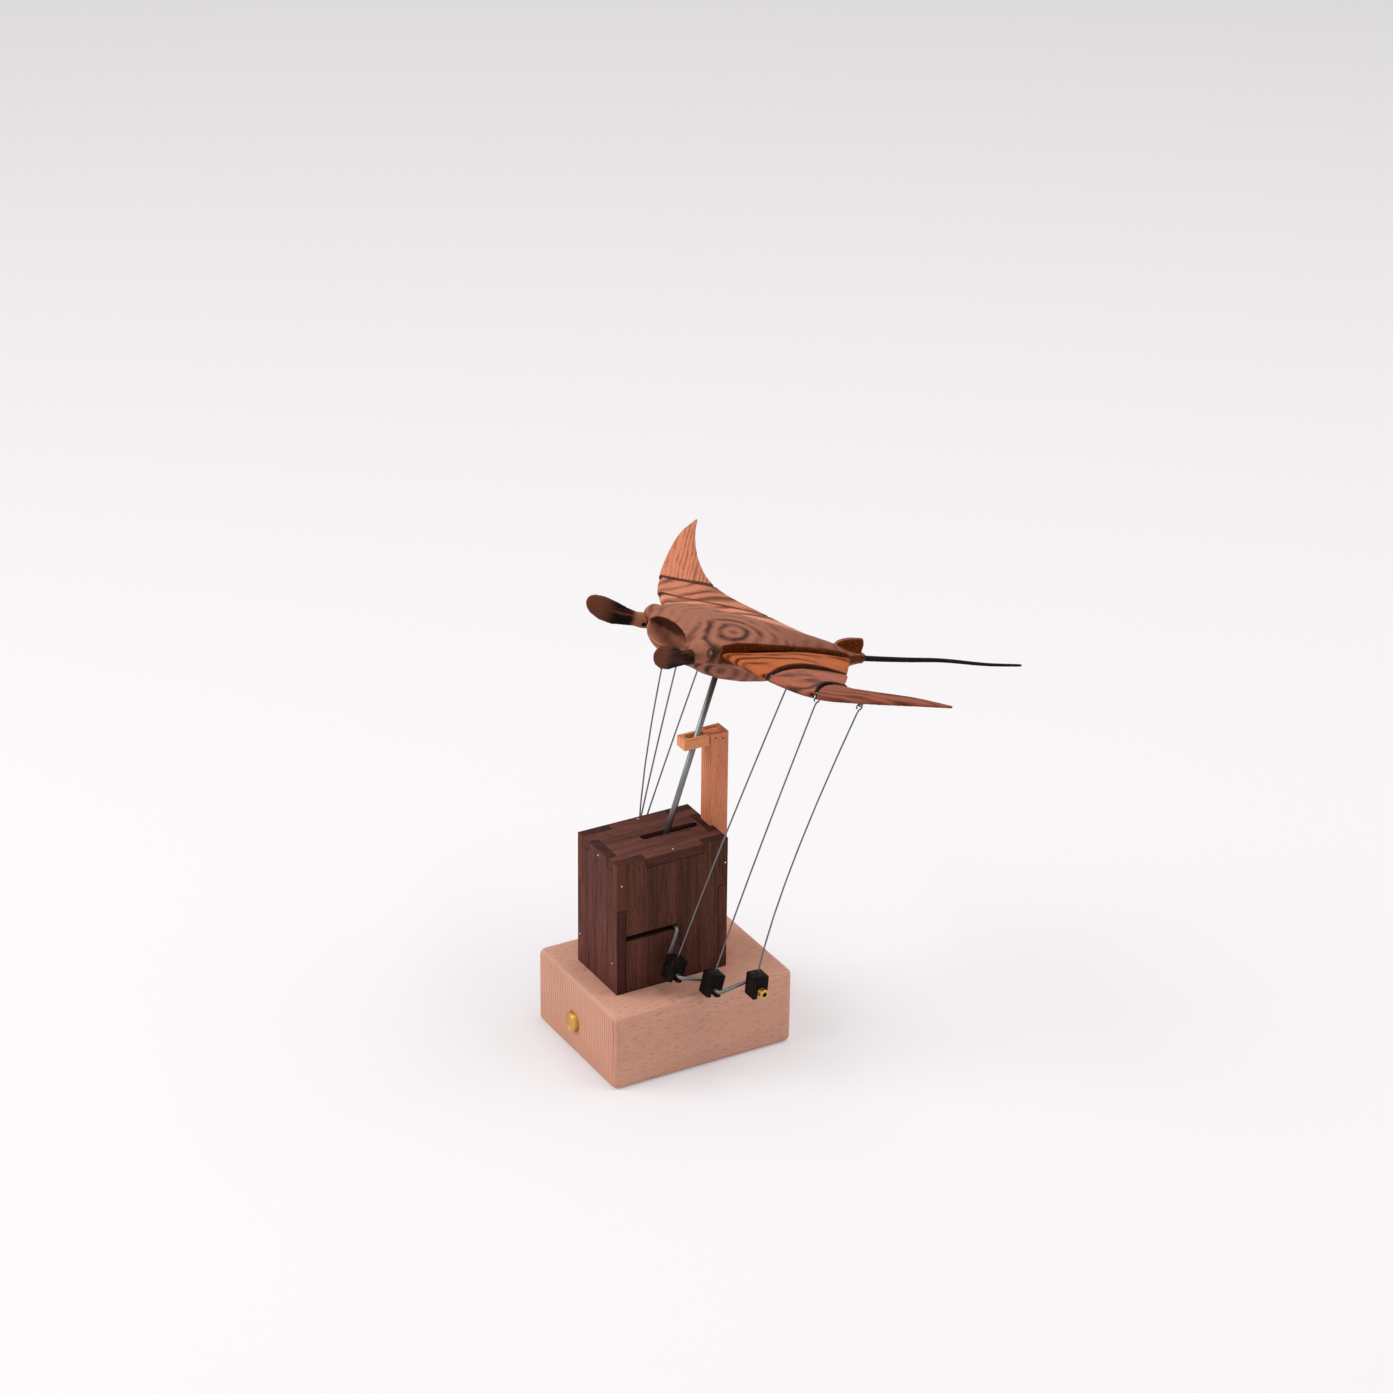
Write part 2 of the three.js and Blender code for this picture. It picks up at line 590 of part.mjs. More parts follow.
// Side plate: covers the corners above, and its slot lets the bent crank in from the front
function buildSidePlate(side) {
  const slotTop = crankZ + SHAFT_SLOT_HEIGHT / 2;
  const slotFoot = crankZ - SHAFT_SLOT_HEIGHT / 2;
  const shape = new THREE.Shape();
  shape.moveTo(innerFront, BASE_HEIGHT);
  shape.lineTo(innerBack, BASE_HEIGHT);
  shape.lineTo(innerBack, fingerZ);
  shape.lineTo(HOUSING_BACK, fingerZ);
  shape.lineTo(HOUSING_BACK, housingTop);
  shape.lineTo(SIDE_FINGER_BACK, housingTop);
  shape.lineTo(SIDE_FINGER_BACK, innerTop);
  shape.lineTo(SIDE_FINGER_FRONT, innerTop);
  shape.lineTo(SIDE_FINGER_FRONT, housingTop);
  shape.lineTo(HOUSING_FRONT, housingTop);
  shape.lineTo(HOUSING_FRONT, fingerZ);
  shape.lineTo(innerFront, fingerZ);
  shape.lineTo(innerFront, slotTop);
  shape.lineTo(CRANK_Y, slotTop);
  shape.absarc(CRANK_Y, crankZ, SHAFT_SLOT_HEIGHT / 2, Math.PI / 2, -Math.PI / 2, true);
  shape.lineTo(innerFront, slotFoot);
  const inner = side < 0 ? -housingHalf : innerHalf;
  addPiece(automaton, `${SIDE_NAMES[side]}_plate`, extrudeAcross(shape, inner, inner + PLATE), walnut);
}

// End plate: covers the corners below, and one finger shows through the top
function endPlateShape() {
  return outline([
    [-housingHalf, BASE_HEIGHT], [housingHalf, BASE_HEIGHT], [housingHalf, fingerZ],
    [innerHalf, fingerZ], [innerHalf, innerTop], [END_FINGER_RIGHT, innerTop],
    [END_FINGER_RIGHT, housingTop], [END_FINGER_LEFT, housingTop], [END_FINGER_LEFT, innerTop],
    [-innerHalf, innerTop], [-innerHalf, fingerZ], [-housingHalf, fingerZ],
  ]);
}

function postDado() {
  const half = POST_WIDTH / 2 + SEAT_GAP;
  return boxBetween(
    [-half, POST_FRONT - SEAT_GAP, BASE_HEIGHT - OVERRUN], [half, HOUSING_BACK + OVERRUN, housingTop + OVERRUN]);
}

function buildEndPlates() {
  const front = extrudeBack(endPlateShape(), HOUSING_FRONT, innerFront);
  const back = extrudeBack(endPlateShape(), innerBack, HOUSING_BACK);
  addPiece(automaton, 'front_plate', front, walnut);
  addPiece(automaton, 'back_plate', cut(back, postDado()), walnut);
}

function buildTopPlate() {
  const shape = outline([
    [-innerHalf, HOUSING_FRONT], [END_FINGER_LEFT, HOUSING_FRONT], [END_FINGER_LEFT, innerFront],
    [END_FINGER_RIGHT, innerFront], [END_FINGER_RIGHT, HOUSING_FRONT], [innerHalf, HOUSING_FRONT],
    [innerHalf, SIDE_FINGER_FRONT], [housingHalf, SIDE_FINGER_FRONT], [housingHalf, SIDE_FINGER_BACK],
    [innerHalf, SIDE_FINGER_BACK], [innerHalf, HOUSING_BACK], [END_FINGER_RIGHT, HOUSING_BACK],
    [END_FINGER_RIGHT, innerBack], [END_FINGER_LEFT, innerBack], [END_FINGER_LEFT, HOUSING_BACK],
    [-innerHalf, HOUSING_BACK], [-innerHalf, SIDE_FINGER_BACK], [-housingHalf, SIDE_FINGER_BACK],
    [-housingHalf, SIDE_FINGER_FRONT], [-innerHalf, SIDE_FINGER_FRONT],
  ]);
  const half = TOP_SLOT_WIDTH / 2;
  const slot = new THREE.Path();
  slot.absarc(0, TOP_SLOT_BACK - half, half, 0, Math.PI);
  slot.absarc(0, TOP_SLOT_FRONT + half, half, Math.PI, Math.PI * 2);
  shape.holes.push(slot);
  addPiece(automaton, 'top_plate', extrudeUp(shape, innerTop, housingTop), walnut);
}

// Guide post and fork
const forkTop = postTop - FORK_DROP;
const forkFoot = forkTop - FORK_HEIGHT;
const forkShoulder = POST_FRONT - SEAT_GAP;
const forkNose = forkShoulder - FORK_REACH;

function buildPost() {
  const half = POST_WIDTH / 2;
  const post = boxBetween([-half, POST_FRONT, BASE_HEIGHT], [half, POST_FRONT + POST_DEPTH, postTop]);
  const tongueHalf = FORK_TONGUE_WIDTH / 2 + SEAT_GAP;
  const mortise = boxBetween(
    [-tongueHalf, POST_FRONT - OVERRUN, forkFoot - SEAT_GAP],
    [tongueHalf, POST_FRONT + FORK_TONGUE_LENGTH + SEAT_GAP, postTop + OVERRUN]);
  addPiece(automaton, 'guide_post', cut(post, mortise), cherry);
}

function buildFork() {
  const half = FORK_WIDTH / 2;
  const tongue = FORK_TONGUE_WIDTH / 2;
  const tongueEnd = POST_FRONT + FORK_TONGUE_LENGTH;
  const shape = outline([
    [-half, forkNose], [half, forkNose], [half, forkShoulder], [tongue, forkShoulder],
    [tongue, tongueEnd], [-tongue, tongueEnd], [-tongue, forkShoulder], [-half, forkShoulder],
  ]);
  const slotHalf = FORK_SLOT_WIDTH / 2;
  const slot = new THREE.Path();
  slot.absarc(0, forkShoulder - slotHalf, slotHalf, 0, Math.PI);
  slot.absarc(0, forkNose + FORK_NOSE + slotHalf, slotHalf, Math.PI, Math.PI * 2);
  shape.holes.push(slot);
  addPiece(automaton, 'guide_fork', extrudeUp(shape, forkFoot, forkTop), cherry);
}

// Crankshaft
function throwCentre(index) {
  const phase = THROW_PHASE_SHARES[index] * Math.PI * 2;
  return [THROW_RADIUS[index] * Math.cos(phase), THROW_RADIUS[index] * Math.sin(phase)];
}

const webX = [0, 1, 2, 3].map((index) => FIRST_WEB_X + THROW_SPACING * index);
const throwMiddleX = [0, 1, 2, 3].map((index) => (index === 0 ? 0 : (webX[index - 1] + webX[index]) / 2));
const collarInnerX = throwMiddleX[3] + BLOCK_WIDTH / 2 + SEAT_GAP;

const crankGroup = new THREE.Group();
crankGroup.position.set(0, CRANK_Y, crankZ);
automaton.add(crankGroup);

function crankHalf(side) {
  const end = collarInnerX + COLLAR_LENGTH - CRANK_OVERHANG;
  const stops = [
    [MIDDLE_THROW_HALF_WIDTH, 0], [MIDDLE_THROW_HALF_WIDTH, null], [webX[0], null], [webX[0], 1],
    [webX[1], 1], [webX[1], 2], [webX[2], 2], [webX[2], 3], [end, 3],
  ];
  return stops.map(([x, index]) => {
    const [y, z] = index === null ? [0, 0] : throwCentre(index);
    return new THREE.Vector3(side * x, y, z);
  });
}

function buildCrank() {
  const corners = [...crankHalf(-1).reverse(), ...crankHalf(1)];
  const path = bentPath(corners, CRANK_BEND);
  addPiece(crankGroup, 'crankshaft', wire(path, CRANK_ROD_RADIUS, ROUND_SIDES), steel);
}

function ringGeometry(x0, x1, outer, inner) {
  const profile = [[inner, x0], [outer, x0], [outer, x1], [inner, x1], [inner, x0]];
  const points = profile.map(([radius, x]) => new THREE.Vector2(radius, x));
  return new THREE.LatheGeometry(points, ROUND_SIDES * 2).rotateZ(-Math.PI / 2);
}

function buildCollars() {
  const [y, z] = throwCentre(3);
  for (const side of SIDES) {
    const edges = [side * collarInnerX, side * (collarInnerX + COLLAR_LENGTH)].sort((a, b) => a - b);
    const collar = ringGeometry(...edges, COLLAR_RADIUS, CRANK_ROD_RADIUS + SEAT_GAP);
    addPiece(crankGroup, `crank_collar_${SIDE_NAMES[side]}`, collar, brass).position.set(0, y, z);
  }
}

// Gears: straight-flanked teeth, a gap of the large one facing a tooth of the small one
const TOOTH_TIP_SHARE = 0.12;
const TOOTH_ROOT_SHARE = 0.29;
const TOOTH_RISE_SHARE = 0.8;
const TOOTH_FALL_SHARE = 1.15;

function toothedShape(teeth, firstAngle, bore) {
  const pitchRadius = (teeth * TOOTH_MODULE) / 2;
  const tip = pitchRadius + TOOTH_MODULE * TOOTH_RISE_SHARE;
  const root = pitchRadius - TOOTH_MODULE * TOOTH_FALL_SHARE;
  const step = (Math.PI * 2) / teeth;
  const points = [];
  for (let tooth = 0; tooth < teeth; tooth += 1) {
    const middle = firstAngle + tooth * step;
    const corners = [
      [-TOOTH_ROOT_SHARE, root], [-TOOTH_TIP_SHARE, tip], [TOOTH_TIP_SHARE, tip], [TOOTH_ROOT_SHARE, root],
    ];
    for (const [share, radius] of corners) {
      const angle = middle + share * step;
      points.push([radius * Math.cos(angle), radius * Math.sin(angle)]);
    }
  }
  const shape = outline(points);
  if (bore > 0) {
    const hole = new THREE.Path();
    hole.absarc(0, 0, bore, 0, Math.PI * 2);
    shape.holes.push(hole);
  }
  return shape;
}

const gearStep = (Math.PI * 2) / GEAR_TEETH;
const centreDistance = ((GEAR_TEETH + PINION_TEETH) * TOOTH_MODULE) / 2;
const motorZ = crankZ - centreDistance;
const gearOuterX = GEAR_INNER_X + GEAR_WIDTH;

function buildGear() {
  const bore = CRANK_ROD_RADIUS + SEAT_GAP;
  const shape = toothedShape(GEAR_TEETH, -Math.PI / 2 + gearStep / 2, bore);
  const hub = ringGeometry(gearOuterX, gearOuterX + GEAR_HUB_LENGTH, GEAR_HUB_RADIUS, bore);
  const gear = join(extrudeAcross(shape, GEAR_INNER_X, gearOuterX), hub);
  addPiece(crankGroup, 'crank_gear', gear, nylon);
}

function buildPinion() {
  const wheel = extrudeAcross(toothedShape(PINION_TEETH, Math.PI / 2, 0), GEAR_INNER_X, gearOuterX);
  const shaft = rodBetween(
    new THREE.Vector3(gearOuterX - MOTOR_SHAFT_REACH - GEAR_WIDTH, 0, 0),
    new THREE.Vector3(gearOuterX, 0, 0), MOTOR_SHAFT_RADIUS);
  const pinion = join(wheel, shaft);
  addPiece(automaton, 'motor_pinion', pinion, brass).position.set(0, CRANK_Y, motorZ);
}

function buildMotor() {
  const boxEnd = MOTOR_FRONT_X - GEARBOX_LENGTH;
  const boxSection = roundedRectangle(MOTOR_WIDTH, MOTOR_HEIGHT, MOTOR_ROUND);
  const gearbox = extrudeAcross(boxSection, boxEnd, MOTOR_FRONT_X);
  const canSection = roundedRectangle(MOTOR_WIDTH, MOTOR_HEIGHT, MOTOR_HEIGHT / 2 - MOTOR_ROUND);
  const can = extrudeAcross(canSection, boxEnd - MOTOR_CAN_LENGTH, boxEnd + MOTOR_ROUND);
  const shaftStart = gearOuterX - MOTOR_SHAFT_REACH - GEAR_WIDTH - SEAT_GAP;
  const bore = rodBetween(
    new THREE.Vector3(shaftStart, 0, 0), new THREE.Vector3(MOTOR_FRONT_X + OVERRUN, 0, 0),
    MOTOR_SHAFT_RADIUS + SEAT_GAP);
  const motor = cut(join(gearbox, can), bore);
  addPiece(automaton, 'gear_motor', motor, steel).position.set(0, CRANK_Y, motorZ);
}

function buildCradle() {
  const inner = MOTOR_WIDTH / 2 + SEAT_GAP;
  const outer = inner + CRADLE_WALL;
  const floor = motorZ - MOTOR_HEIGHT / 2 - SEAT_GAP;
  const top = BASE_HEIGHT + CRADLE_CHEEK_HEIGHT;
  const shape = outline([
    [CRANK_Y - outer, BASE_HEIGHT], [CRANK_Y + outer, BASE_HEIGHT], [CRANK_Y + outer, top],
    [CRANK_Y + inner, top], [CRANK_Y + inner, floor], [CRANK_Y - inner, floor],
    [CRANK_Y - inner, top], [CRANK_Y - outer, top],
  ]);
  const start = MOTOR_FRONT_X - GEARBOX_LENGTH / 2 - CRADLE_LENGTH;
  addPiece(automaton, 'motor_cradle', extrudeAcross(shape, start, start + CRADLE_LENGTH), blackPlastic);
}

function buildBearings() {
  for (const side of SIDES) {
    const shape = roundedRectangle(BEARING_LENGTH, BEARING_HEIGHT, BEARING_WIDTH);
    const hole = new THREE.Path();
    hole.absarc(0, 0, CRANK_ROD_RADIUS + SEAT_GAP, 0, Math.PI * 2);
    shape.holes.push(hole);
    const inner = side < 0 ? -innerHalf : innerHalf - BEARING_WIDTH;
    const bearing = extrudeAcross(shape, inner, inner + BEARING_WIDTH);
    addPiece(automaton, `shaft_bearing_${SIDE_NAMES[side]}`, bearing, nylon).position.set(0, CRANK_Y, crankZ);
  }
}

// Block that rides on a throw: a mouth open below takes the crank, a socket above takes the rod
function blockGeometry(depth, abovePin, socketRadius) {
  const half = depth / 2;
  const mouth = CRANK_ROD_RADIUS + SEAT_GAP;
  const foot = -BLOCK_BELOW_PIN;
  const shape = new THREE.Shape();
  shape.moveTo(half - BLOCK_CORNER, foot);
  shape.lineTo(half, foot + BLOCK_CORNER);
  shape.lineTo(half, abovePin - BLOCK_CORNER);
  shape.lineTo(half - BLOCK_CORNER, abovePin);
  shape.lineTo(-half + BLOCK_CORNER, abovePin);
  shape.lineTo(-half, abovePin - BLOCK_CORNER);
  shape.lineTo(-half, foot + BLOCK_CORNER);
  shape.lineTo(-half + BLOCK_CORNER, foot);
  shape.lineTo(-mouth, foot);
  shape.absarc(0, 0, mouth, Math.PI, 0, true);
  shape.lineTo(mouth, foot);
  const block = extrudeAcross(shape, -BLOCK_WIDTH / 2, BLOCK_WIDTH / 2);
  const socket = rodBetween(
    new THREE.Vector3(0, 0, abovePin - BLOCK_SOCKET_DEPTH - SEAT_GAP),
    new THREE.Vector3(0, 0, abovePin + OVERRUN), socketRadius, ROUND_SIDES);
  return cut(block, socket);
}

// Rod, with the ray at its top: it leans from the middle throw through the middle of the fork's slot
const [middleY, middleZ] = throwCentre(0);
const slotMiddleY = (forkShoulder + forkNose + FORK_NOSE) / 2;
const slotMiddleZ = (forkTop + forkFoot) / 2;
const leanAngle = Math.atan2(slotMiddleY - CRANK_Y - middleY, slotMiddleZ - crankZ - middleZ);
const liftGroup = new THREE.Group();
liftGroup.position.set(0, CRANK_Y + middleY, crankZ + middleZ);
liftGroup.rotation.x = -leanAngle;
automaton.add(liftGroup);
const rayGroup = new THREE.Group();
rayGroup.position.z = RAY_ABOVE_PIN;
liftGroup.add(rayGroup);
automaton.updateMatrixWorld(true);

function buildRod() {
  const foot = ROD_BLOCK_ABOVE_PIN - BLOCK_SOCKET_DEPTH;
  const rod = rodBetween(
    new THREE.Vector3(0, 0, foot), new THREE.Vector3(0, 0, RAY_ABOVE_PIN + ROD_IN_RAY), ROD_RADIUS);
  addPiece(liftGroup, 'main_rod', rod, steel);
  const block = blockGeometry(ROD_BLOCK_DEPTH, ROD_BLOCK_ABOVE_PIN, ROD_RADIUS + SEAT_GAP);
  addPiece(liftGroup, 'rod_block', block, ebony);
}

// Wing surface: span share from root to tip, chord share from leading to trailing edge
function edgeCurve(shares) {
  return new THREE.CatmullRomCurve3(
    shares.map((row) => new THREE.Vector3(...row).multiplyScalar(WING_REACH)));
}

const leadingEdge = edgeCurve(LEADING_SHARES);
const trailingEdge = edgeCurve(TRAILING_SHARES);

function wingUnderside(span, chord) {
  const point = leadingEdge.getPoint(span).lerp(trailingEdge.getPoint(span), chord);
  const bow = between(JOINT_STATION_SHARES, JOINT_BOW, span);
  const sway = ROOT_SWAY * Math.max(1 - span / JOINT_STATION_SHARES[1], 0);
  point.x -= bow * Math.sin(Math.PI * chord ** JOINT_BOW_SKEW_SHARE);
  point.x += sway * Math.sin(Math.PI * 2 * chord);
  return point;
}

// Ring of a wing piece at a share of its length: up over the top and back below.
// Each end stops half a gap short, and the top of the inner end leans away from the joint.
function wingRing(index, share) {
  const [start, end] = JOINT_STATION_SHARES.slice(index, index + 2);
  const span = THREE.MathUtils.lerp(start, end, share);
  const lastGap = index === WING_PIECES.length - 1 ? 0 : -WING_GAP / 2;
  const shift = THREE.MathUtils.lerp(WING_GAP / 2, lastGap, share);
  const crest = THREE.MathUtils.lerp(WING_CREST_START[index], WING_CREST_END[index], share);
  const edge = between(JOINT_STATION_SHARES, WING_EDGE, span);
  const raised = (chord, rise, lean) => {
    const point = wingUnderside(span, chord);
    point.z += rise * (edge + (crest - edge) * Math.sin(Math.PI * chord));
    point.x += shift + lean;
    return point;
  };
  const inner = CHORD_SHARES.slice(1, -1);
  return [
    raised(0, 0.5, 0),
    ...inner.map((chord) => raised(chord, 1, WING_TOP_BEVEL * (1 - share))),
    raised(1, 0.5, 0),
    ...inner.reverse().map((chord) => raised(chord, 0, 0)),
  ];
}

function wingPiece(index) {
  const steps = WING_STATIONS[index];
  return loft(Array.from({ length: steps + 1 }, (_, i) => wingRing(index, i / steps)));
}

// Hinge line of a joint: straight. The outer pins run half way into the bow and cross both pieces.
function hingePoint(index, chord) {
  const span = JOINT_STATION_SHARES[index];
  const point = wingUnderside(span, 0).lerp(wingUnderside(span, 1), chord);
  point.x -= index === 0 ? ROOT_PIN_INSET : JOINT_BOW[index] / 2;
  point.z += HINGE_PIN_HEIGHT;
  return point;
}

function hingeLine(index, past) {
  const ends = (index === 0 ? ROOT_PIN_SHARES : [0, 1]).map((chord) => hingePoint(index, chord));
  const along = new THREE.Vector3().subVectors(ends[1], ends[0]).normalize();
  return [ends[0].addScaledVector(along, -past), ends[1].addScaledVector(along, past)];
}

function hingeHole(index) {
  const past = index === 0 ? SEAT_GAP : BODY_HALF_WIDTH;
  return rodBetween(...hingeLine(index, past), HINGE_PIN_RADIUS + SEAT_GAP, ROUND_SIDES);
}

// Block around the root pin: the wing's tongue, or the body's pocket with its play
function rootBlock(depthPlay, risePlay, endPlay) {
  const [start, end] = TONGUE_SHARES.map((chord) => hingePoint(0, chord));
  const along = new THREE.Vector3().subVectors(end, start);
  const half = along.length() / 2 + endPlay;
  along.normalize();
  const up = new THREE.Vector3(0, 0, 1).addScaledVector(along, -along.z).normalize();
  const outwards = new THREE.Vector3().crossVectors(along, up);
  const rise = TONGUE_THICKNESS / 2 + risePlay;
  const block = boxBetween(
    [-TONGUE_PAST_PIN - depthPlay, -half, -rise], [ROOT_PIN_INSET + TONGUE_IN_WING, half, rise]);
  const turn = new THREE.Matrix4().makeBasis(outwards, along, up);
  return block.applyMatrix4(turn.setPosition(start.lerp(end, 0.5)));
}

// Screw eye: a shank turned into the wing and a ring below it
function eyeCentre(index) {
  const point = wingUnderside(EYE_SPAN_SHARES[index], EYE_CHORD_SHARES[index]);
  point.z -= EYE_NECK + EYE_RADIUS;
  return point;
}

function eyeHole(index) {
  const centre = eyeCentre(index);
  const neck = centre.clone().setZ(centre.z + EYE_RADIUS);
  const end = neck.clone().setZ(neck.z + EYE_NECK + EYE_SHANK + SEAT_GAP);
  return rodBetween(neck, end, WIRE_RADIUS + SEAT_GAP, ROUND_SIDES);
}

function eyeGeometry(index) {
  const centre = eyeCentre(index);
  const points = [centre.clone().setZ(centre.z + EYE_RADIUS + EYE_NECK + EYE_SHANK)];
  points.push(centre.clone().setZ(centre.z + EYE_RADIUS + EYE_NECK));
  const turns = LOOP_STEPS;
  for (let i = 0; i <= turns; i += 1) {
    const angle = Math.PI / 2 + (i / turns) * radians(LOOP_SWEEP_DEG);
    const across = EYE_RADIUS * Math.cos(angle);
    points.push(new THREE.Vector3(centre.x + across, centre.y, centre.z + EYE_RADIUS * Math.sin(angle)));
  }
  return wire(points, WIRE_RADIUS, WIRE_SIDES);
}

// Body of the ray
function bodyRing(y, halfWidth, heights, grow) {
  const [crown, edge, wall, underside] = heights.map((share) => share * BODY_DEPTH);
  const bellyShare = heights[4];
  const top = crown + grow;
  const width = halfWidth + grow;
  const fall = crown - edge;
  const half = [[0, top]];
  CROWN_ACROSS_SHARES.forEach((share, i) => half.push([width * share, top - fall * CROWN_FALL_SHARES[i]]));
  half.push([width - BODY_EDGE_ROUND, edge + grow], [width, edge + grow - BODY_EDGE_ROUND], [width, wall]);
  for (let i = 1; i <= BELLY_STEPS; i += 1) {
    const angle = (i / BELLY_STEPS) * (Math.PI / 2);
    half.push([width * bellyShare * Math.cos(angle), wall - (wall - underside + grow) * Math.sin(angle)]);
  }
  half[half.length - 1][0] = 0;
  const right = half.map(([x, z]) => new THREE.Vector3(x, y, z));
  const left = half.slice(1, -1).reverse().map(([x, z]) => new THREE.Vector3(-x, y, z));
  return [...right, ...left];
}

function bodyHull(grow) {
  const length = BODY_REAR - BODY_FRONT;
  const rings = HEAD_STATION_SHARES.map((share, i) => bodyRing(
    BODY_FRONT + share * length - (i === 0 ? grow : 0),
    HEAD_WIDTH_SHARES[i] * BODY_HALF_WIDTH, HEAD_HEIGHT_SHARES[i], grow));
  CHORD_SHARES.forEach((chord, i) => {
    const root = wingUnderside(0, chord);
    rings.push(bodyRing(root.y, root.x - WING_GAP / 2, FLANK_HEIGHT_SHARES[i], grow));
  });
  REAR_STATION_SHARES.forEach((share, i) => rings.push(bodyRing(
    BODY_FRONT + share * length, REAR_WIDTH_SHARES[i] * BODY_HALF_WIDTH, REAR_HEIGHT_SHARES[i], grow)));
  return loft(rings);
}

function bossSphere(side, grow) {
  const boss = new THREE.SphereGeometry(BOSS_RADIUS + grow, CARVE_STEPS, CARVE_STEPS * 0.75);
  return boss.translate(side * BOSS_X, BOSS_Y, BOSS_Z);
}

function eyeHollow(side) {
  const turn = radians(EYE_HOLE_TURN_DEG);
  const rise = radians(EYE_HOLE_RISE_DEG);
  const reach = BOSS_RADIUS * EYE_HOLE_REACH_SHARE;
  const hollow = new THREE.SphereGeometry(EYE_HOLE_RADIUS, ROUND_SIDES, ROUND_SIDES * 0.75);
  return hollow.translate(
    side * (BOSS_X + reach * Math.cos(rise) * Math.cos(turn)),
    BOSS_Y + reach * Math.cos(rise) * Math.sin(turn), BOSS_Z + reach * Math.sin(rise));
}

function mouthTool() {
  const tool = new THREE.SphereGeometry(1, CARVE_STEPS * 2, CARVE_STEPS);
  tool.scale(MOUTH_WIDTH, MOUTH_DEPTH, MOUTH_HEIGHT);
  return tool.rotateX(-radians(MOUTH_TILT_DEG)).translate(0, MOUTH_Y, MOUTH_Z);
}

function dorsalFin() {
  const fin = new THREE.ExtrudeGeometry(outline(DORSAL_OUTLINE), {
    depth: DORSAL_THICKNESS - DORSAL_EDGE * 2,
    bevelThickness: DORSAL_EDGE,
    bevelSize: DORSAL_EDGE,
    bevelOffset: -DORSAL_EDGE,
    bevelSegments: 2,
  });
  const turn = new THREE.Matrix4().makeBasis(
    new THREE.Vector3(0, 1, 0), new THREE.Vector3(0, 0, 1), new THREE.Vector3(1, 0, 0));
  return fin.translate(0, 0, DORSAL_EDGE - DORSAL_THICKNESS / 2).applyMatrix4(turn);
}

const tailCurve = new THREE.CatmullRomCurve3(TAIL_POINTS.map((point) => new THREE.Vector3(...point)));

function tailHole() {
  const root = tailCurve.getPoint(0);
  const start = root.clone().setY(root.y - SEAT_GAP);
  return rodBetween(start, root.clone().setY(BODY_REAR + OVERRUN), TAIL_ROOT_RADIUS + SEAT_GAP);
}

function mirrored(geometry, side) {
  if (side > 0) {
    return geometry;
  }
  const solid = toSolid(geometry).mirror([1, 0, 0]);
  return toGeometry(solid);
}

function buildBody() {
  const rodHole = rodBetween(
    new THREE.Vector3(0, 0, -OVERRUN), new THREE.Vector3(0, 0, ROD_IN_RAY + SEAT_GAP), ROD_RADIUS + SEAT_GAP);
  const pocket = rootBlock(POCKET_DEPTH_PLAY, POCKET_RISE_PLAY, POCKET_END_PLAY);
  const hinges = SIDES.flatMap((side) => [mirrored(hingeHole(0), side), mirrored(pocket, side)]);
  const bosses = SIDES.map((side) => bossSphere(side, 0));
  const eyes = SIDES.map((side) => eyeHollow(side));
  const carved = join(bodyHull(0), dorsalFin(), ...bosses);
  const body = cut(carved, mouthTool(), ...eyes, rodHole, tailHole(), ...hinges);
  addPiece(rayGroup, 'ray_body', body, zebrano);
}

function buildTail() {
  const points = tailCurve.getPoints(TAIL_STEPS);
  const radiusAt = (i) => THREE.MathUtils.lerp(TAIL_ROOT_RADIUS, TAIL_TIP_RADIUS, i / TAIL_STEPS);
  addPiece(rayGroup, 'tail', sweep(points, radiusAt, ROUND_SIDES), ebony);
}

function finGeometry() {
  const root = new THREE.Vector3(...FIN_ROOT);
  const along = new THREE.Vector3(...FIN_TIP).sub(root);
  const across = new THREE.Vector3(-along.y, along.x, 0).normalize();
  const rings = FIN_STATION_SHARES.map((share, i) => {
    const centre = root.clone().addScaledVector(along, share);
    centre.z -= FIN_SAG * Math.sin(Math.PI * share);
    return Array.from({ length: FIN_SIDES }, (_, k) => {
      const angle = (k / FIN_SIDES) * Math.PI * 2;
      const rise = (FIN_HEIGHT / 2) * FIN_HEIGHT_SHARES[i] * Math.cos(angle);
      const side = (FIN_THICKNESS / 2) * FIN_THICKNESS_SHARES[i] * Math.sin(angle);
      return centre.clone().addScaledVector(across, side).setZ(centre.z + rise);
    });
  });
  return cut(loft(rings), bossSphere(1, SEAT_GAP), bodyHull(FIN_HULL_GAP));
}

function buildWings() {
  for (const side of SIDES) {
    const sideName = SIDE_NAMES[side];
    addPiece(rayGroup, `head_fin_${sideName}`, mirrored(finGeometry(), side), darkWood);
    WING_PIECES.forEach((piece, index) => {
      const outer = index < WING_PIECES.length - 1 ? [hingeHole(index + 1)] : [];
      const plate = index === 0 ? join(wingPiece(0), rootBlock(0, 0, 0)) : wingPiece(index);
      const wing = cut(plate, hingeHole(index), eyeHole(index), ...outer);
      addPiece(rayGroup, `wing_${piece}_${sideName}`, mirrored(wing, side), zebrano);
      const pinLine = hingeLine(index, index === 0 ? 0 : -HINGE_PIN_INSET);
      const pin = rodBetween(...pinLine, HINGE_PIN_RADIUS, ROUND_SIDES);
      addPiece(rayGroup, `hinge_pin_${piece}_${sideName}`, mirrored(pin, side), steel);
      addPiece(rayGroup, `screw_eye_${piece}_${sideName}`, mirrored(eyeGeometry(index), side), steel);
    });
  }
}

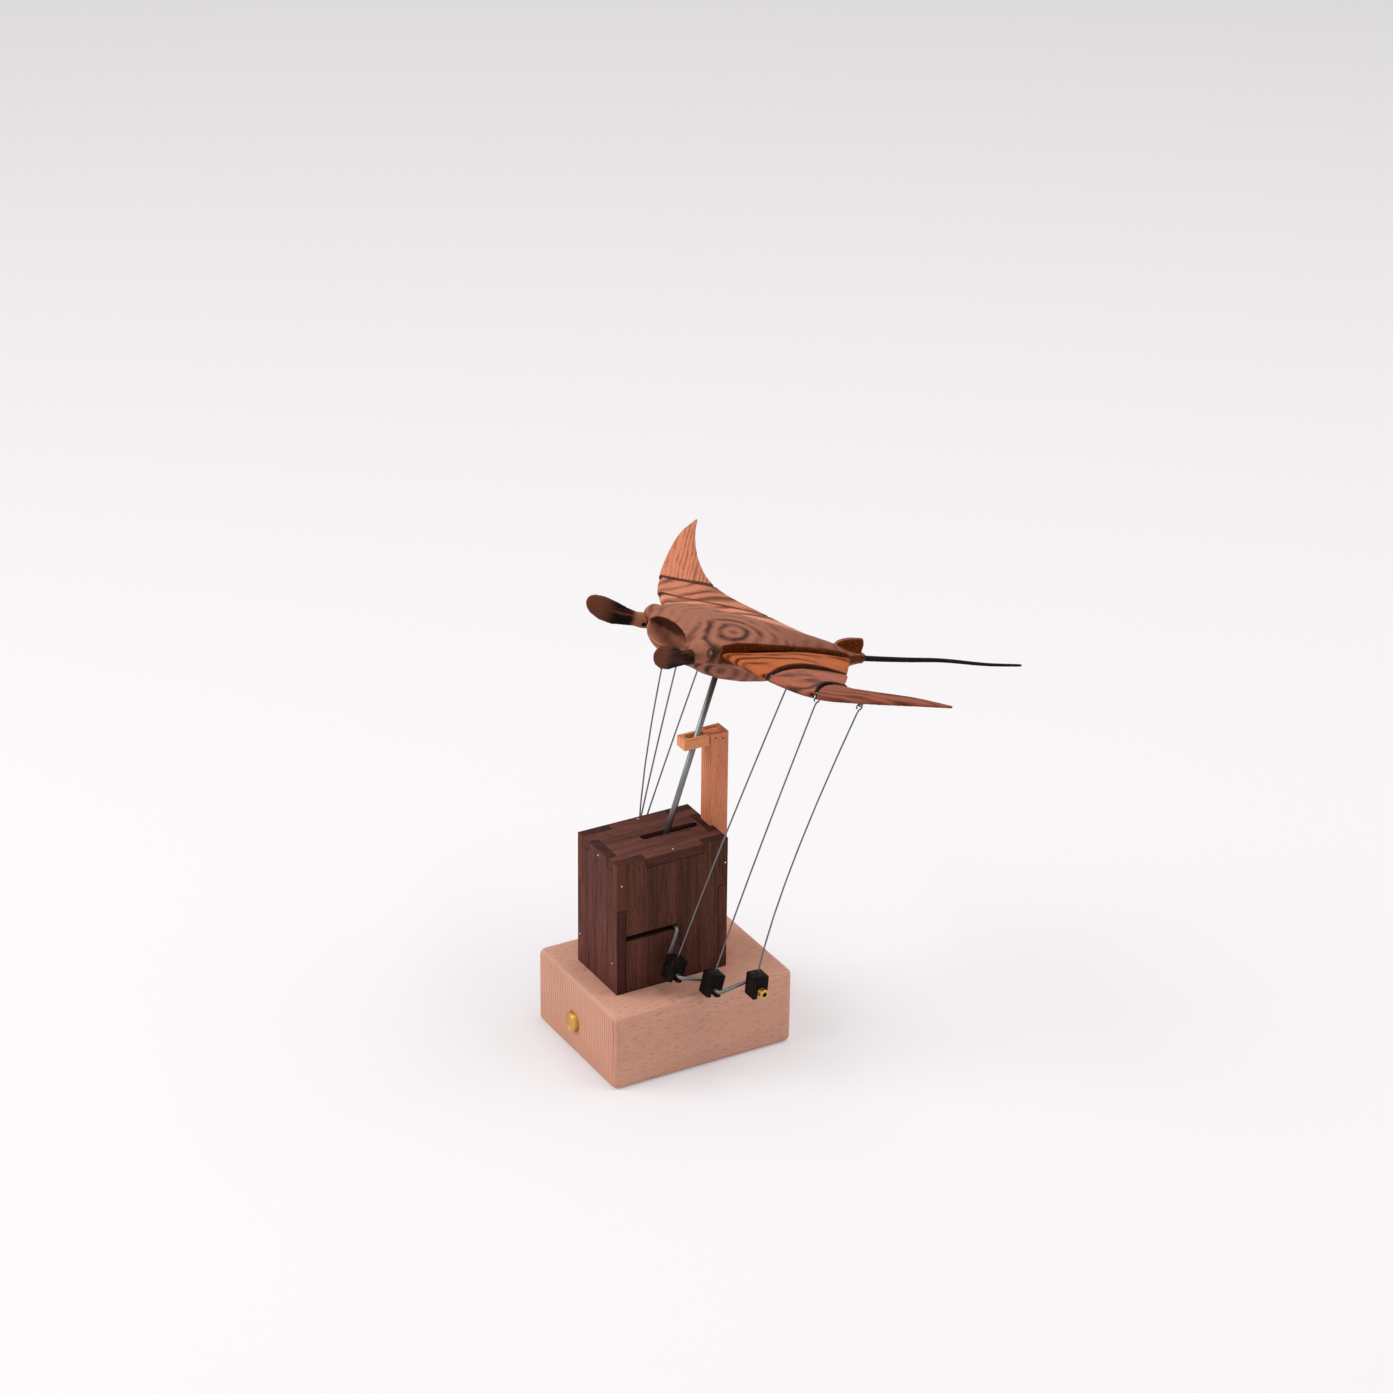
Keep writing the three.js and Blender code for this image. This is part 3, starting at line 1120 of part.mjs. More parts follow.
// Pushrods: a block on each throw and a wire from its socket to the screw eye.
// The wire's loop hangs in the eye, square to it, in the plane that holds the lean.
function pushrodLoop(eye) {
  const up = new THREE.Vector3(0, Math.sin(leanAngle), Math.cos(leanAngle));
  const across = new THREE.Vector3(0, up.z, -up.y);
  const hang = EYE_RADIUS - WIRE_RADIUS * 2 - SEAT_GAP + LOOP_RADIUS;
  const centre = eye.clone().addScaledVector(up, -hang);
  return Array.from({ length: LOOP_STEPS + 1 }, (_, i) => {
    const angle = -Math.PI / 2 + (i / LOOP_STEPS) * radians(LOOP_SWEEP_DEG);
    return centre.clone()
      .addScaledVector(across, LOOP_RADIUS * Math.cos(angle))
      .addScaledVector(up, LOOP_RADIUS * Math.sin(angle));
  });
}

function buildPushrod(index, side) {
  const [y, z] = throwCentre(index + 1);
  const pin = new THREE.Vector3(side * throwMiddleX[index + 1], CRANK_Y + y, crankZ + z);
  const eyeLocal = eyeCentre(index);
  eyeLocal.x *= side;
  const loop = pushrodLoop(eyeLocal.applyMatrix4(rayGroup.matrixWorld));
  const bend = pin.clone().lerp(loop[0], WIRE_BOW_AT_SHARE);
  bend.y -= WIRE_BOW[index];
  const lean = Math.atan2(bend.y - pin.y, bend.z - pin.z);
  const name = `${WING_PIECES[index]}_${SIDE_NAMES[side]}`;
  const block = blockGeometry(BLOCK_DEPTH, BLOCK_ABOVE_PIN, WIRE_RADIUS + SEAT_GAP);
  const blockMesh = addPiece(automaton, `pushrod_block_${name}`, block, ebony);
  blockMesh.position.copy(pin);
  blockMesh.rotation.x = -lean;

  const axis = new THREE.Vector3(0, Math.sin(lean), Math.cos(lean));
  const foot = pin.clone().addScaledVector(axis, BLOCK_ABOVE_PIN - BLOCK_SOCKET_DEPTH);
  const rim = pin.clone().addScaledVector(axis, BLOCK_ABOVE_PIN);
  const bowed = new THREE.QuadraticBezierCurve3(rim, bend, loop[0]).getPoints(WIRE_STEPS);
  const points = [foot, ...bowed, ...loop.slice(1)];
  addPiece(automaton, `pushrod_${name}`, wire(points, WIRE_RADIUS, WIRE_SIDES), steel);
}

buildBase();
buildCover();
buildButton();
buildSwitch();
buildBatteryBox();
SIDES.forEach(buildSidePlate);
buildEndPlates();
buildTopPlate();
buildPost();
buildFork();
buildCrank();
buildCollars();
buildGear();
buildPinion();
buildMotor();
buildCradle();
buildBearings();
buildRod();
buildBody();
buildTail();
buildWings();
for (const side of SIDES) {
  WING_PIECES.forEach((_, index) => buildPushrod(index, side));
}

export default automaton;
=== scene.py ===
import math

import bmesh
import bpy
from mathutils import Matrix, Vector


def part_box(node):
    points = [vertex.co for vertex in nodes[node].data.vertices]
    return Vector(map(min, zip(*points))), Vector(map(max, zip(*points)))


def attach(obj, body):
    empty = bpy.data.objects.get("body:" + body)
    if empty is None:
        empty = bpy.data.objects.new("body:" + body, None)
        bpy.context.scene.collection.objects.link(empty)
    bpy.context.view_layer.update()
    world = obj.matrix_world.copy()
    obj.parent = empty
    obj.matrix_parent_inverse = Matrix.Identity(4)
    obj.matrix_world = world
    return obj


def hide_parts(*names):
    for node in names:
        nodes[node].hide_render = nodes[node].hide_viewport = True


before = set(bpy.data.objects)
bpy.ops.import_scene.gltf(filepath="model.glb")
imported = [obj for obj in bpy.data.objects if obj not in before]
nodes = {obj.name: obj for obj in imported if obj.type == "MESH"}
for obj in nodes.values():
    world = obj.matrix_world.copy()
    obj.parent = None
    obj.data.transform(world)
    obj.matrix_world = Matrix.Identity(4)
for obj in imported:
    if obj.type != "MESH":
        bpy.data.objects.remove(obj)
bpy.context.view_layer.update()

# Camera: a long lens in front of the ray and to its right, looking down on it, with a trace of roll.
# Place, angle and focal length were fitted to base, housing, crank and ray together.
PHOTO_WIDTH = 1393
FOCAL_LENGTH = 4287  # in the photograph's pixels
camera_data = bpy.data.cameras.new("camera")
camera_data.sensor_width = 36.0
camera_data.lens = camera_data.sensor_width * FOCAL_LENGTH / PHOTO_WIDTH
camera_data.clip_end = 30.0
camera = bpy.data.objects.new("camera", camera_data)
bpy.context.scene.collection.objects.link(camera)
right = Vector((0.4931126, 0.8699013, 0.0105714))
up = Vector((-0.3932632, 0.2120533, 0.8946382))
back = right.cross(up)
camera.matrix_world = Matrix.Translation((1.5980708, -0.9008641, 1.1007491)) @ Matrix(
    (right, up, back)).transposed().to_4x4()
bpy.context.scene.camera = camera


# Base: one block of steamed beech with hand-rounded edges, its grain from front to back, so that
# both ends show end grain. A recessed beech cover is screwed into its hollow underside.
def linear(red, green, blue):
    """A colour as it is seen, 0 to 255, as the renderer counts it."""
    parts = [value / 255 for value in (red, green, blue)]
    return tuple(v / 12.92 if v < 0.04045 else ((v + 0.055) / 1.055) ** 2.4 for v in parts) + (1.0,)


class Field:
    """A number or a colour that changes over a surface."""

    def __init__(self, finish, socket):
        self.finish = finish
        self.socket = socket

    def __add__(self, other):
        return self.finish.maths("ADD", self, other)

    def __radd__(self, other):
        return self.finish.maths("ADD", other, self)

    def __sub__(self, other):
        return self.finish.maths("SUBTRACT", self, other)

    def __rsub__(self, other):
        return self.finish.maths("SUBTRACT", other, self)

    def __mul__(self, other):
        return self.finish.maths("MULTIPLY", self, other)

    def __rmul__(self, other):
        return self.finish.maths("MULTIPLY", other, self)

    def __truediv__(self, other):
        return self.finish.maths("DIVIDE", self, other)

    def __rtruediv__(self, other):
        return self.finish.maths("DIVIDE", other, self)

    def __pow__(self, other):
        return self.finish.maths("POWER", self, other)

    def wave(self):
        """0 to 1 and back once for each whole number passed."""
        return self.finish.maths("SINE", self * math.tau) * 0.5 + 0.5

    def ramp(self, low, high):
        """0 below low, 1 above high, smooth between."""
        return self.finish.node("ShaderNodeMapRange", {"interpolation_type": "SMOOTHSTEP"},
                                self, low, high, 0.0, 1.0)


class Finish:
    """A material with one Principled shader, whose nodes are written as expressions."""

    def __init__(self, name, constants=None):
        self.material = bpy.data.materials.new(name)
        self.material.use_nodes = True
        self.tree = self.material.node_tree
        self.tree.nodes.clear()
        self.shader = self.tree.nodes.new("ShaderNodeBsdfPrincipled")
        output = self.tree.nodes.new("ShaderNodeOutputMaterial")
        self.tree.links.new(self.shader.outputs[0], output.inputs[0])
        for socket, value in (constants or {}).items():
            self.shader.inputs[socket].default_value = value

    def node(self, kind, settings, *inputs, out=0, **named):
        new = self.tree.nodes.new(kind)
        for key, value in settings.items():
            setattr(new, key, value)
        for socket, value in [*zip(new.inputs, inputs), *((new.inputs[k], v) for k, v in named.items())]:
            self.feed(socket, value)
        return Field(self, new.outputs[out])

    def maths(self, operation, *values):
        return self.node("ShaderNodeMath", {"operation": operation}, *values)

    def feed(self, socket, value):
        if isinstance(value, Field):
            self.tree.links.new(value.socket, socket)
        elif value is not None:
            socket.default_value = value

    def spot(self, origin=(0, 0, 0), turn=(0, 0, 0), size=(1, 1, 1)):
        """Place on the piece, measured from origin along turned axes, in steps of size."""
        place = self.node("ShaderNodeTexCoord", {}, out="Object")
        return self.node("ShaderNodeMapping", {"vector_type": "TEXTURE"}, place, origin, turn, size)

    def facing(self):
        """Way the surface looks, in the object's own axes."""
        return self.node("ShaderNodeTexCoord", {}, out="Normal")

    def split(self, vector):
        return [self.node("ShaderNodeSeparateXYZ", {}, vector, out=axis) for axis in range(3)]

    def noise(self, vector, detail=2.0, roughness=0.5, distortion=0.0):
        return self.node("ShaderNodeTexNoise", {}, Vector=vector, Scale=1.0, Detail=detail,
                         Roughness=roughness, Distortion=distortion)

    def mix(self, first, second, share, way="MIX"):
        new = self.tree.nodes.new("ShaderNodeMix")
        new.data_type = "RGBA"
        new.blend_type = way
        for index, value in ((0, share), (6, first), (7, second)):
            self.feed(new.inputs[index], value)
        return Field(self, new.outputs[2])

    def finish(self, colour, roughness=None, height=None, depth=0.0001, strength=0.4):
        self.feed(self.shader.inputs["Base Color"], colour)
        self.feed(self.shader.inputs["Roughness"], roughness)
        if height is not None:
            bump = self.node("ShaderNodeBump", {}, Strength=strength, Distance=depth, Height=height)
            self.feed(self.shader.inputs["Normal"], bump)
        return self.material


# turns that lay a pattern's third axis, which is its long one, along X, Y or Z
ALONG = ((0, math.radians(90), 0), (math.radians(-90), 0, 0), (0, 0, 0))


def beech(name, grain_axis, pale=(222, 168, 145), deep=(184, 126, 101), fleck=(140, 82, 58), shift=0.0,
          marked=0.16):
    """Beech: even pinkish wood, growth rings standing on edge, short dark flecks along the grain."""
    wood = Finish(name, {"Specular IOR Level": 0.15})
    turn = ALONG[grain_axis]
    ring = wood.split(wood.spot((0.35 + shift, 0.02, 0), turn, (0.0019, 0.03, 0.2)))
    wander = wood.noise(wood.spot((shift, 0, 0), turn, (0.012, 0.02, 0.09)), 3.0, 0.5)
    years = (ring[0] + wander * 1.6).wave()
    at_end = wood.maths("ABSOLUTE", wood.split(wood.facing())[grain_axis]).ramp(0.6, 0.9)
    ray = wood.noise(wood.spot((shift, 0, 0), turn, (0.00045, 0.00045, 0.0046)), 1.5, 0.5)
    flecks = ray.ramp(0.58, 0.68) * (1 - at_end)
    fibre = wood.noise(wood.spot((0, shift, 0), turn, (0.0003, 0.0003, 0.012)), 3.0, 0.6)
    stain = wood.noise(wood.spot((shift, 0, 0), turn, (0.02, 0.02, 0.09)), 3.0)
    colour = wood.mix(linear(*pale), linear(*deep), years * (at_end * 0.6 + marked) + stain * 0.45 - 0.1)
    colour = wood.mix(colour, linear(*fleck), flecks * 0.5)
    colour = wood.mix(colour, linear(*deep), fibre.ramp(0.45, 0.75) * 0.4)
    return wood.finish(colour, 0.5 + fibre * 0.18, fibre * 0.6 - flecks * 0.3, 0.00005, 0.3)


def smooth(mesh, angle=34.0):
    mesh.shade_smooth()
    mesh.set_sharp_from_angle(angle=math.radians(angle))


def make(name, mesh, material, body, slot, *replaced):
    """A finished piece: on its body, with its finish, in place of its plain solids."""
    piece = bpy.data.objects.new(name, mesh)
    bpy.context.scene.collection.objects.link(piece)
    mesh.materials.clear()
    mesh.materials.append(material)
    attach(piece, body)
    if replaced:
        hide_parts(*replaced)
    return piece


def even(piece):
    """Flat faces stay flat to the light, and only their eased edges turn."""
    piece.modifiers.new("even_shading", "WEIGHTED_NORMAL").keep_sharp = True


def merged(node):
    """A copy of a solid, its loose triangles joined."""
    bm = bmesh.new()
    bm.from_mesh(nodes[node].data)
    bmesh.ops.remove_doubles(bm, verts=bm.verts, dist=2e-6)
    return bm


def to_mesh(bm, name, angle=34.0):
    mesh = bpy.data.meshes.new(name)
    bm.to_mesh(mesh)
    bm.free()
    smooth(mesh, angle)
    return mesh


def eased(node, width, segments=2):
    """The solid with its sharp edges eased, as sandpaper leaves them."""
    bm = merged(node)
    bmesh.ops.dissolve_limit(bm, angle_limit=math.radians(2), verts=bm.verts, edges=bm.edges)
    sharp = [e for e in bm.edges if len(e.link_faces) == 2 and e.calc_face_angle(0) > math.radians(32)]
    bmesh.ops.bevel(bm, geom=sharp, offset=width, segments=segments, affect="EDGES", profile=0.5,
                    clamp_overlap=True, material=-1)
    return to_mesh(bm, node, 40.0)


def paint(material, *names):
    """A finish for solids whose shape is right as it is."""
    for name in names:
        mesh = nodes[name].data
        mesh.materials.clear()
        mesh.materials.append(material)


base_wood = beech("beech_base", 1)
even(make("base_shell", to_mesh(merged("base_block"), "base_shell", 36.0), base_wood,
          "stand", "beech", "base_block"))
even(make("cover_panel", eased("base_cover", 0.0004), beech("beech_cover", 1, shift=0.4),
          "stand", "beech", "base_cover"))


# Metal: bright drawn steel for wire, rod, screws and pins, and turned brass for button and collars.
# The cover's two countersunk screws have a cross recess.
def metal(name, tone, rough, streak):
    """Metal with fine drawing lines along streak's long side and a few dull patches."""
    surface = Finish(name, {"Metallic": 1.0})
    lines = surface.noise(surface.spot(size=streak), 3.0, 0.6)
    patch = surface.noise(surface.spot(size=(0.006, 0.006, 0.012)), 3.0)
    dull = linear(*(value * 0.62 for value in tone))
    colour = surface.mix(linear(*tone), dull, patch * 0.55 + lines * 0.25)
    return surface.finish(colour, patch * 0.22 + lines * 0.1 + rough, lines, 0.00003, 0.25)


def lathed(profile, segments, at=(0, 0, 0), way=(0, 0, 1)):
    """Radius and height pairs spun about way, standing at a point."""
    bm = bmesh.new()
    ring = [bm.verts.new((radius, 0, height)) for radius, height in profile]
    edges = [bm.edges.new(pair) for pair in zip(ring, ring[1:])]
    bmesh.ops.spin(bm, geom=ring + edges, cent=(0, 0, 0), axis=(0, 0, 1), angle=math.tau,
                   steps=segments, use_merge=True)
    bmesh.ops.remove_doubles(bm, verts=bm.verts, dist=1e-7)
    bmesh.ops.recalc_face_normals(bm, faces=bm.faces)
    turn = Vector((0, 0, 1)).rotation_difference(Vector(way)).to_matrix().to_4x4()
    bmesh.ops.transform(bm, matrix=Matrix.Translation(at) @ turn, verts=bm.verts)
    return bm


steel = metal("steel_screws", (176, 178, 182), 0.22, (0.0003, 0.0003, 0.006))
brass = metal("brass_turned", (236, 186, 96), 0.2, (0.0004, 0.0002, 0.0004))
paint(steel, "cover_screw_front", "cover_screw_rear")

# Push button: a turned brass cap with a fine rim, on its own stem. It slides in a hole in the front
# end of the base and closes the switch behind it.
button_low, button_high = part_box("power_button")
button_x = (button_low.x + button_high.x) / 2
button_z = (button_low.z + button_high.z) / 2
button_profile = [
    (0, 0.00006), (0.0030, 0.00002), (0.0039, 0), (0.00405, 0.00014), (0.0042, 0), (0.0046, 0),
    (0.0049, 0.00012), (0.005, 0.0004), (0.005, 0.0108), (0.0048, 0.011), (0.002, 0.011),
    (0.002, button_high.y - button_low.y), (0, button_high.y - button_low.y),
]
make("button_cap", to_mesh(lathed(button_profile, 48, (button_x, button_low.y, button_z), (0, 1, 0)),
                           "button_cap", 30.0), brass, "button", "brass", "power_button")


# Switch, battery box, motor, cradle, bearings and gears: small bought parts inside base and housing.
# They stay plain, moulded black or natural plastic and a bright motor can.
def moulded(name, tone, rough):
    """Moulded plastic, finely grained and a little cloudy."""
    surface = Finish(name)
    grain = surface.noise(surface.spot(size=(0.0006, 0.0006, 0.0006)), 3.0)
    cloud = surface.noise(surface.spot(size=(0.01, 0.01, 0.01)), 2.0)
    colour = surface.mix(linear(*tone), linear(*(value * 0.8 for value in tone)), cloud)
    return surface.finish(colour, grain * 0.15 + rough, grain, 0.00004, 0.3)


black_plastic = moulded("plastic_black", (44, 46, 48), 0.45)
nylon = moulded("nylon_natural", (226, 221, 208), 0.4)
paint(black_plastic, "power_switch", "battery_box", "motor_cradle")
paint(nylon, "crank_gear", "shaft_bearing_left", "shaft_bearing_right")
paint(brass, "motor_pinion")
paint(steel, "gear_motor")


# Housing: five plates of oiled walnut, finger-jointed and glued on the base. The side and end plates
# have upright grain, the top's runs front to back. Small bright nails hold the joints.
def walnut(name, turn, pale, deep, shift, ends, burn, sappy=False):
    """Walnut with darker end grain on the faces that ends picks, and dark glue lines at the joints.
    A sappy board has a paler strip up its front edge."""
    wood = Finish(name, {"Specular IOR Level": 0.05})
    ring = wood.spot((0.05 + shift, 0.09 - shift, 0), turn, (0.0085, 0.0085, 0.11))
    across = wood.split(ring)
    wander = wood.noise(ring, 4.0, 0.6)
    radius = wood.maths("SQRT", across[0] * across[0] + across[1] * across[1])
    years = (radius * 0.9 + wander * 2.4).wave()
    cloud = wood.noise(wood.spot((shift, 0, 0), turn, (0.007, 0.007, 0.05)), 4.0, 0.62)
    fibre = wood.noise(wood.spot((0, shift, 0), turn, (0.00045, 0.00045, 0.02)), 4.0, 0.68)
    pore = wood.noise(wood.spot((0, 0, shift), turn, (0.0003, 0.0003, 0.0028)), 1.0).ramp(0.60, 0.70)
    colour = wood.mix(linear(*pale), linear(*deep), years * 0.4 + cloud * 0.65 - 0.15)
    colour = wood.mix(colour, linear(*(value * 0.62 for value in deep)), fibre.ramp(0.44, 0.64) * 0.62)
    colour = wood.mix(colour, linear(*(value * 0.45 for value in deep)), pore * 0.6)
    x, y, z = wood.split(wood.spot())
    if sappy:
        sap = y.ramp(front_y + 0.006, front_y + 0.0045) * z.ramp(0.0855, 0.0862)
        colour = wood.mix(colour, linear(116, 68, 52), sap * 0.4)
    facing = [wood.maths("ABSOLUTE", part) for part in wood.split(wood.facing())]
    end = sum(facing[axis].ramp(0.6, 0.9) for axis in ends)
    colour = wood.mix(colour, linear(*(value * 0.55 for value in deep)), end * burn)
    flat = wood.maths("MAXIMUM", wood.maths("MAXIMUM", facing[0], facing[1]), facing[2])
    outer = [wood.maths("ABSOLUTE", x).ramp(side_x - 0.0004, side_x - 0.00015),
             wood.maths("ABSOLUTE", y - middle_y).ramp(deep_y - 0.0004, deep_y - 0.00015),
             z.ramp(top_z - 0.0004, top_z - 0.00015)]
    corner = wood.maths("MAXIMUM", outer[0] * outer[1], outer[2] * wood.maths("MAXIMUM", outer[0], outer[1]))
    seam = flat.ramp(0.995, 0.93) * (1 - corner)
    colour = wood.mix(colour, linear(22, 13, 12), seam * 0.8)
    return wood.finish(colour, 0.55 + fibre * 0.2, fibre * 0.5 - pore, 0.0001, 0.4)


front_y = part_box("front_plate")[0].y
back_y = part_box("back_plate")[1].y
top_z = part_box("top_plate")[1].z
side_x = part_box("right_plate")[1].x
middle_y = (front_y + back_y) / 2
deep_y = (back_y - front_y) / 2
plate_looks = {
    "left_plate": ("walnut_side_left", ALONG[2], (112, 68, 54), (66, 38, 31), 0.0, (2,), 0.55, True),
    "right_plate": ("walnut_side_right", ALONG[2], (108, 66, 53), (64, 38, 31), 0.31, (2,), 0.55, True),
    "front_plate": ("walnut_front", ALONG[2], (116, 68, 60), (68, 38, 34), 0.62, (0, 2), 0.55),
    "back_plate": ("walnut_back", ALONG[2], (108, 62, 50), (66, 36, 29), 0.93, (2,), 0.55),
    "top_plate": ("walnut_top", ALONG[1], (124, 76, 66), (80, 46, 40), 1.27, (0, 1), 0.4),
}
for plate, looks in plate_looks.items():
    even(make("housing_" + plate, eased(plate, 0.00025), walnut(*looks), "stand", "walnut", plate))

NAIL = [(0, 0.00025), (0.00028, 0.00021), (0.00046, 0.00008), (0.0005, -0.0001), (0.0005, -0.0006),
        (0, -0.0006)]


def nailed(name, places, finish):
    """Round-headed nails, each at a point and looking one way."""
    nails = bmesh.new()
    for at, way in places:
        single = lathed(NAIL, 12, at, way)
        nail = bpy.data.meshes.new("nail")
        single.to_mesh(nail)
        single.free()
        nails.from_mesh(nail)
        bpy.data.meshes.remove(nail)
    make(name, to_mesh(nails, name), finish, "stand", "steel")


heads = [((side, y, z), (side, 0, 0)) for side in (-side_x, side_x)
         for y, z in ((-0.0354, 0.0999), (0.0219, 0.0982))]
heads += [((x, front_y, z), (0, -1, 0)) for x, z in ((0.0009, 0.1086), (-0.0178, 0.0558), (0.0154, 0.0558))]
heads += [((x, back_y, z), (0, 1, 0)) for x, z in ((-0.0095, 0.1086), (-0.0165, 0.0558), (0.0165, 0.0558))]
heads += [((x, -0.0058, top_z), (0, 0, 1)) for x in (-0.0178, 0.0172)]
nailed("housing_nails", heads, metal("steel_nails", (228, 226, 224), 0.3, (0.0003, 0.0003, 0.0003)))


# Guide post and fork: reddish beech with upright grain, let into the housing's back, and a lighter
# fork with grain towards the rod, tenoned into the post's head and pinned with two dark nails.
post_wood = beech("post_beech", 2, (236, 150, 110), (184, 98, 62), (146, 72, 44), 0.7, 0.5)
fork_wood = beech("fork_beech", 1, (252, 176, 124), (220, 132, 86), (178, 96, 58), 0.2, 0.4)
even(make("post", eased("guide_post", 0.0004), post_wood, "stand", "cherry", "guide_post"))
even(make("fork", eased("guide_fork", 0.0004), fork_wood, "stand", "cherry", "guide_fork"))
post_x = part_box("guide_post")[1].x
nailed("post_pins", [((post_x, y, z), (1, 0, 0)) for y, z in ((0.0244, 0.1586), (0.0284, 0.1578))],
       metal("iron_pins", (74, 52, 42), 0.5, (0.0003, 0.0003, 0.0003)))


# Crankshaft: one piece of 2 mm steel wire bent into seven throws, with a brass collar pressed on
# each end. The collars are turned, with chamfered edges.
def bar(name, node, radius, material, body, slot, longest=1.0):
    """Drawn wire: the bar with more sides, swollen by what the subdivision takes off.
    Edges over the longest are divided, for a wire that has to bend."""
    bm = merged(node)
    long_edges = [edge for edge in bm.edges if edge.calc_length() > longest]
    bmesh.ops.subdivide_edges(bm, edges=long_edges, cuts=3, use_grid_fill=True)
    bm.normal_update()
    for vert in bm.verts:
        vert.co += vert.normal * radius * 0.1
    piece = make(name, to_mesh(bm, node, 70.0), material, body, slot, node)
    finer = piece.modifiers.new("finer", "SUBSURF")
    finer.levels = finer.render_levels = 1
    return piece


crank_steel = metal("steel_crank", (132, 131, 131), 0.3, (0.006, 0.0002, 0.0002))
bar("crank_wire", "crankshaft", 0.001, crank_steel, "crank", "steel")
for side in ("left", "right"):
    low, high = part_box("crank_collar_" + side)
    middle = (low + high) / 2
    half = (high.x - low.x) / 2
    radius = (high.z - low.z) / 2
    profile = [(0.00125, -half), (radius - 0.0003, -half), (radius, -half + 0.0003), (radius, half - 0.0003),
               (radius - 0.0003, half), (0.00125, half), (0.00125, -half)]
    make("collar_" + side, to_mesh(lathed(profile, 32, middle, (1, 0, 0)), "collar", 30.0), brass,
         "crank", "brass", "crank_collar_" + side)


# Blocks: little bearings of ebony that hang on the throws by a slot sawn from below, with the wire
# glued in a hole on top. A few faces are browner, with fine streaks.
def ebony(name, shift):
    """Near black wood with a few browner streaks."""
    wood = Finish(name, {"Specular IOR Level": 0.05})
    streak = wood.noise(wood.spot((shift, shift * 2, 0), ALONG[2], (0.0016, 0.0016, 0.02)), 4.0, 0.65)
    fibre = wood.noise(wood.spot((shift, 0, 0), ALONG[2], (0.0003, 0.0003, 0.005)), 3.0, 0.6)
    colour = wood.mix(linear(19, 15, 14), linear(58, 39, 33), streak.ramp(0.5, 0.75))
    colour = wood.mix(colour, linear(14, 11, 11), fibre.ramp(0.5, 0.8) * 0.6)
    return wood.finish(colour, 0.42 + fibre * 0.2, fibre, 0.00006, 0.4)


PIECES = ("inner", "middle", "outer")
for side in ("left", "right"):
    for index, span in enumerate(PIECES):
        name = f"{span}_{side}"
        wood = ebony("ebony_" + name, index * 0.37 + (side == "left") * 0.21)
        make("block_" + name, eased("pushrod_block_" + name, 0.00035), wood, "rider_" + name, "ebony",
             "pushrod_block_" + name)
make("lift_block", eased("rod_block", 0.0003), ebony("ebony_lift", 1.7), "ray", "ebony", "rod_block")

# Main rod: 3 mm ground steel, glued into the ray's belly. It comes down through the fork and the
# housing's slot to the block on the crank's middle throw.
rod_steel = metal("steel_rod", (140, 139, 139), 0.24, (0.0004, 0.0004, 0.02))
make("lift_rod", to_mesh(merged("main_rod"), "lift_rod", 50.0), rod_steel, "ray", "steel", "main_rod")


# Ray's body: carved from one piece of figured rosewood, with dark ovals on the back, plain dark
# sides, a scooped mouth, two eye bosses and the dorsal fin left standing on the rump.
RAY_AT = (0, 0.025680, 0.186677)
RAY_LEAN = -math.atan2(0.316845, 0.948477)
EYE_AT = (0.02775, -0.02669, 0.02379)  # the right eye, from the ray's own origin
ray_matrix = Matrix.Translation(RAY_AT) @ Matrix.Rotation(RAY_LEAN, 4, "X")


def ray_turn(heading):
    """The ray's own axes, turned by heading about its upright."""
    return tuple((Matrix.Rotation(RAY_LEAN, 3, "X") @ Matrix.Rotation(heading, 3, "Z")).to_euler())


def carved(node, cell, rounds):
    """The solid with its facets and edges worked smooth, as the knife and the sandpaper leave it."""
    bm = merged(node)
    mesh = bpy.data.meshes.new(node)
    bm.to_mesh(mesh)
    bm.free()
    rough = bpy.data.objects.new("rough", mesh)
    bpy.context.scene.collection.objects.link(rough)
    remesh = rough.modifiers.new("cells", "REMESH")
    remesh.mode = "VOXEL"
    remesh.voxel_size = cell
    relax = rough.modifiers.new("relax", "SMOOTH")
    relax.factor = 0.5
    relax.iterations = rounds
    bpy.context.view_layer.update()
    done = bpy.data.meshes.new_from_object(rough.evaluated_get(bpy.context.evaluated_depsgraph_get()))
    bpy.data.objects.remove(rough)
    done.shade_smooth()
    return done


def fibres(wood, turn, shift):
    """Fine fibres and open pores along the turned Y axis."""
    fibre = wood.noise(wood.spot((0, shift, 0), turn, (0.0004, 0.009, 0.0004)), 4.0, 0.65)
    pore = wood.noise(wood.spot((0, 0, shift), turn, (0.00028, 0.0022, 0.00028)), 1.0).ramp(0.60, 0.70)
    return fibre, pore


def rosewood(name, heading, period, wander, pale, deep, shift, contrast=1.0, cell=(0.012, 0.034, 0.012)):
    """Figured wood: dark stripes along the grain that drift into ovals, over fine fibres."""
    wood = Finish(name, {"Specular IOR Level": 0.05})
    turn = ray_turn(heading)
    across = wood.split(wood.spot(RAY_AT, turn, (period,) * 3))
    drift = wood.noise(wood.spot((shift, shift * 0.7, -shift), turn, cell), 1.5, 0.45)
    figure = (across[0] + drift * wander).wave() ** 1.5
    broad = wood.noise(wood.spot((-shift, 0, shift), turn, tuple(v * 0.7 for v in cell)), 3.0, 0.55)
    fibre, pore = fibres(wood, turn, shift)
    colour = wood.mix(linear(*pale), linear(*deep), (0.25 + broad.ramp(0.36, 0.6) * 0.75) * figure * contrast)
    colour = wood.mix(colour, linear(*(v * 0.66 for v in pale)), fibre.ramp(0.46, 0.72) * 0.5)
    return wood, wood.mix(colour, linear(*(v * 0.6 for v in deep)), pore * 0.35), fibre, pore


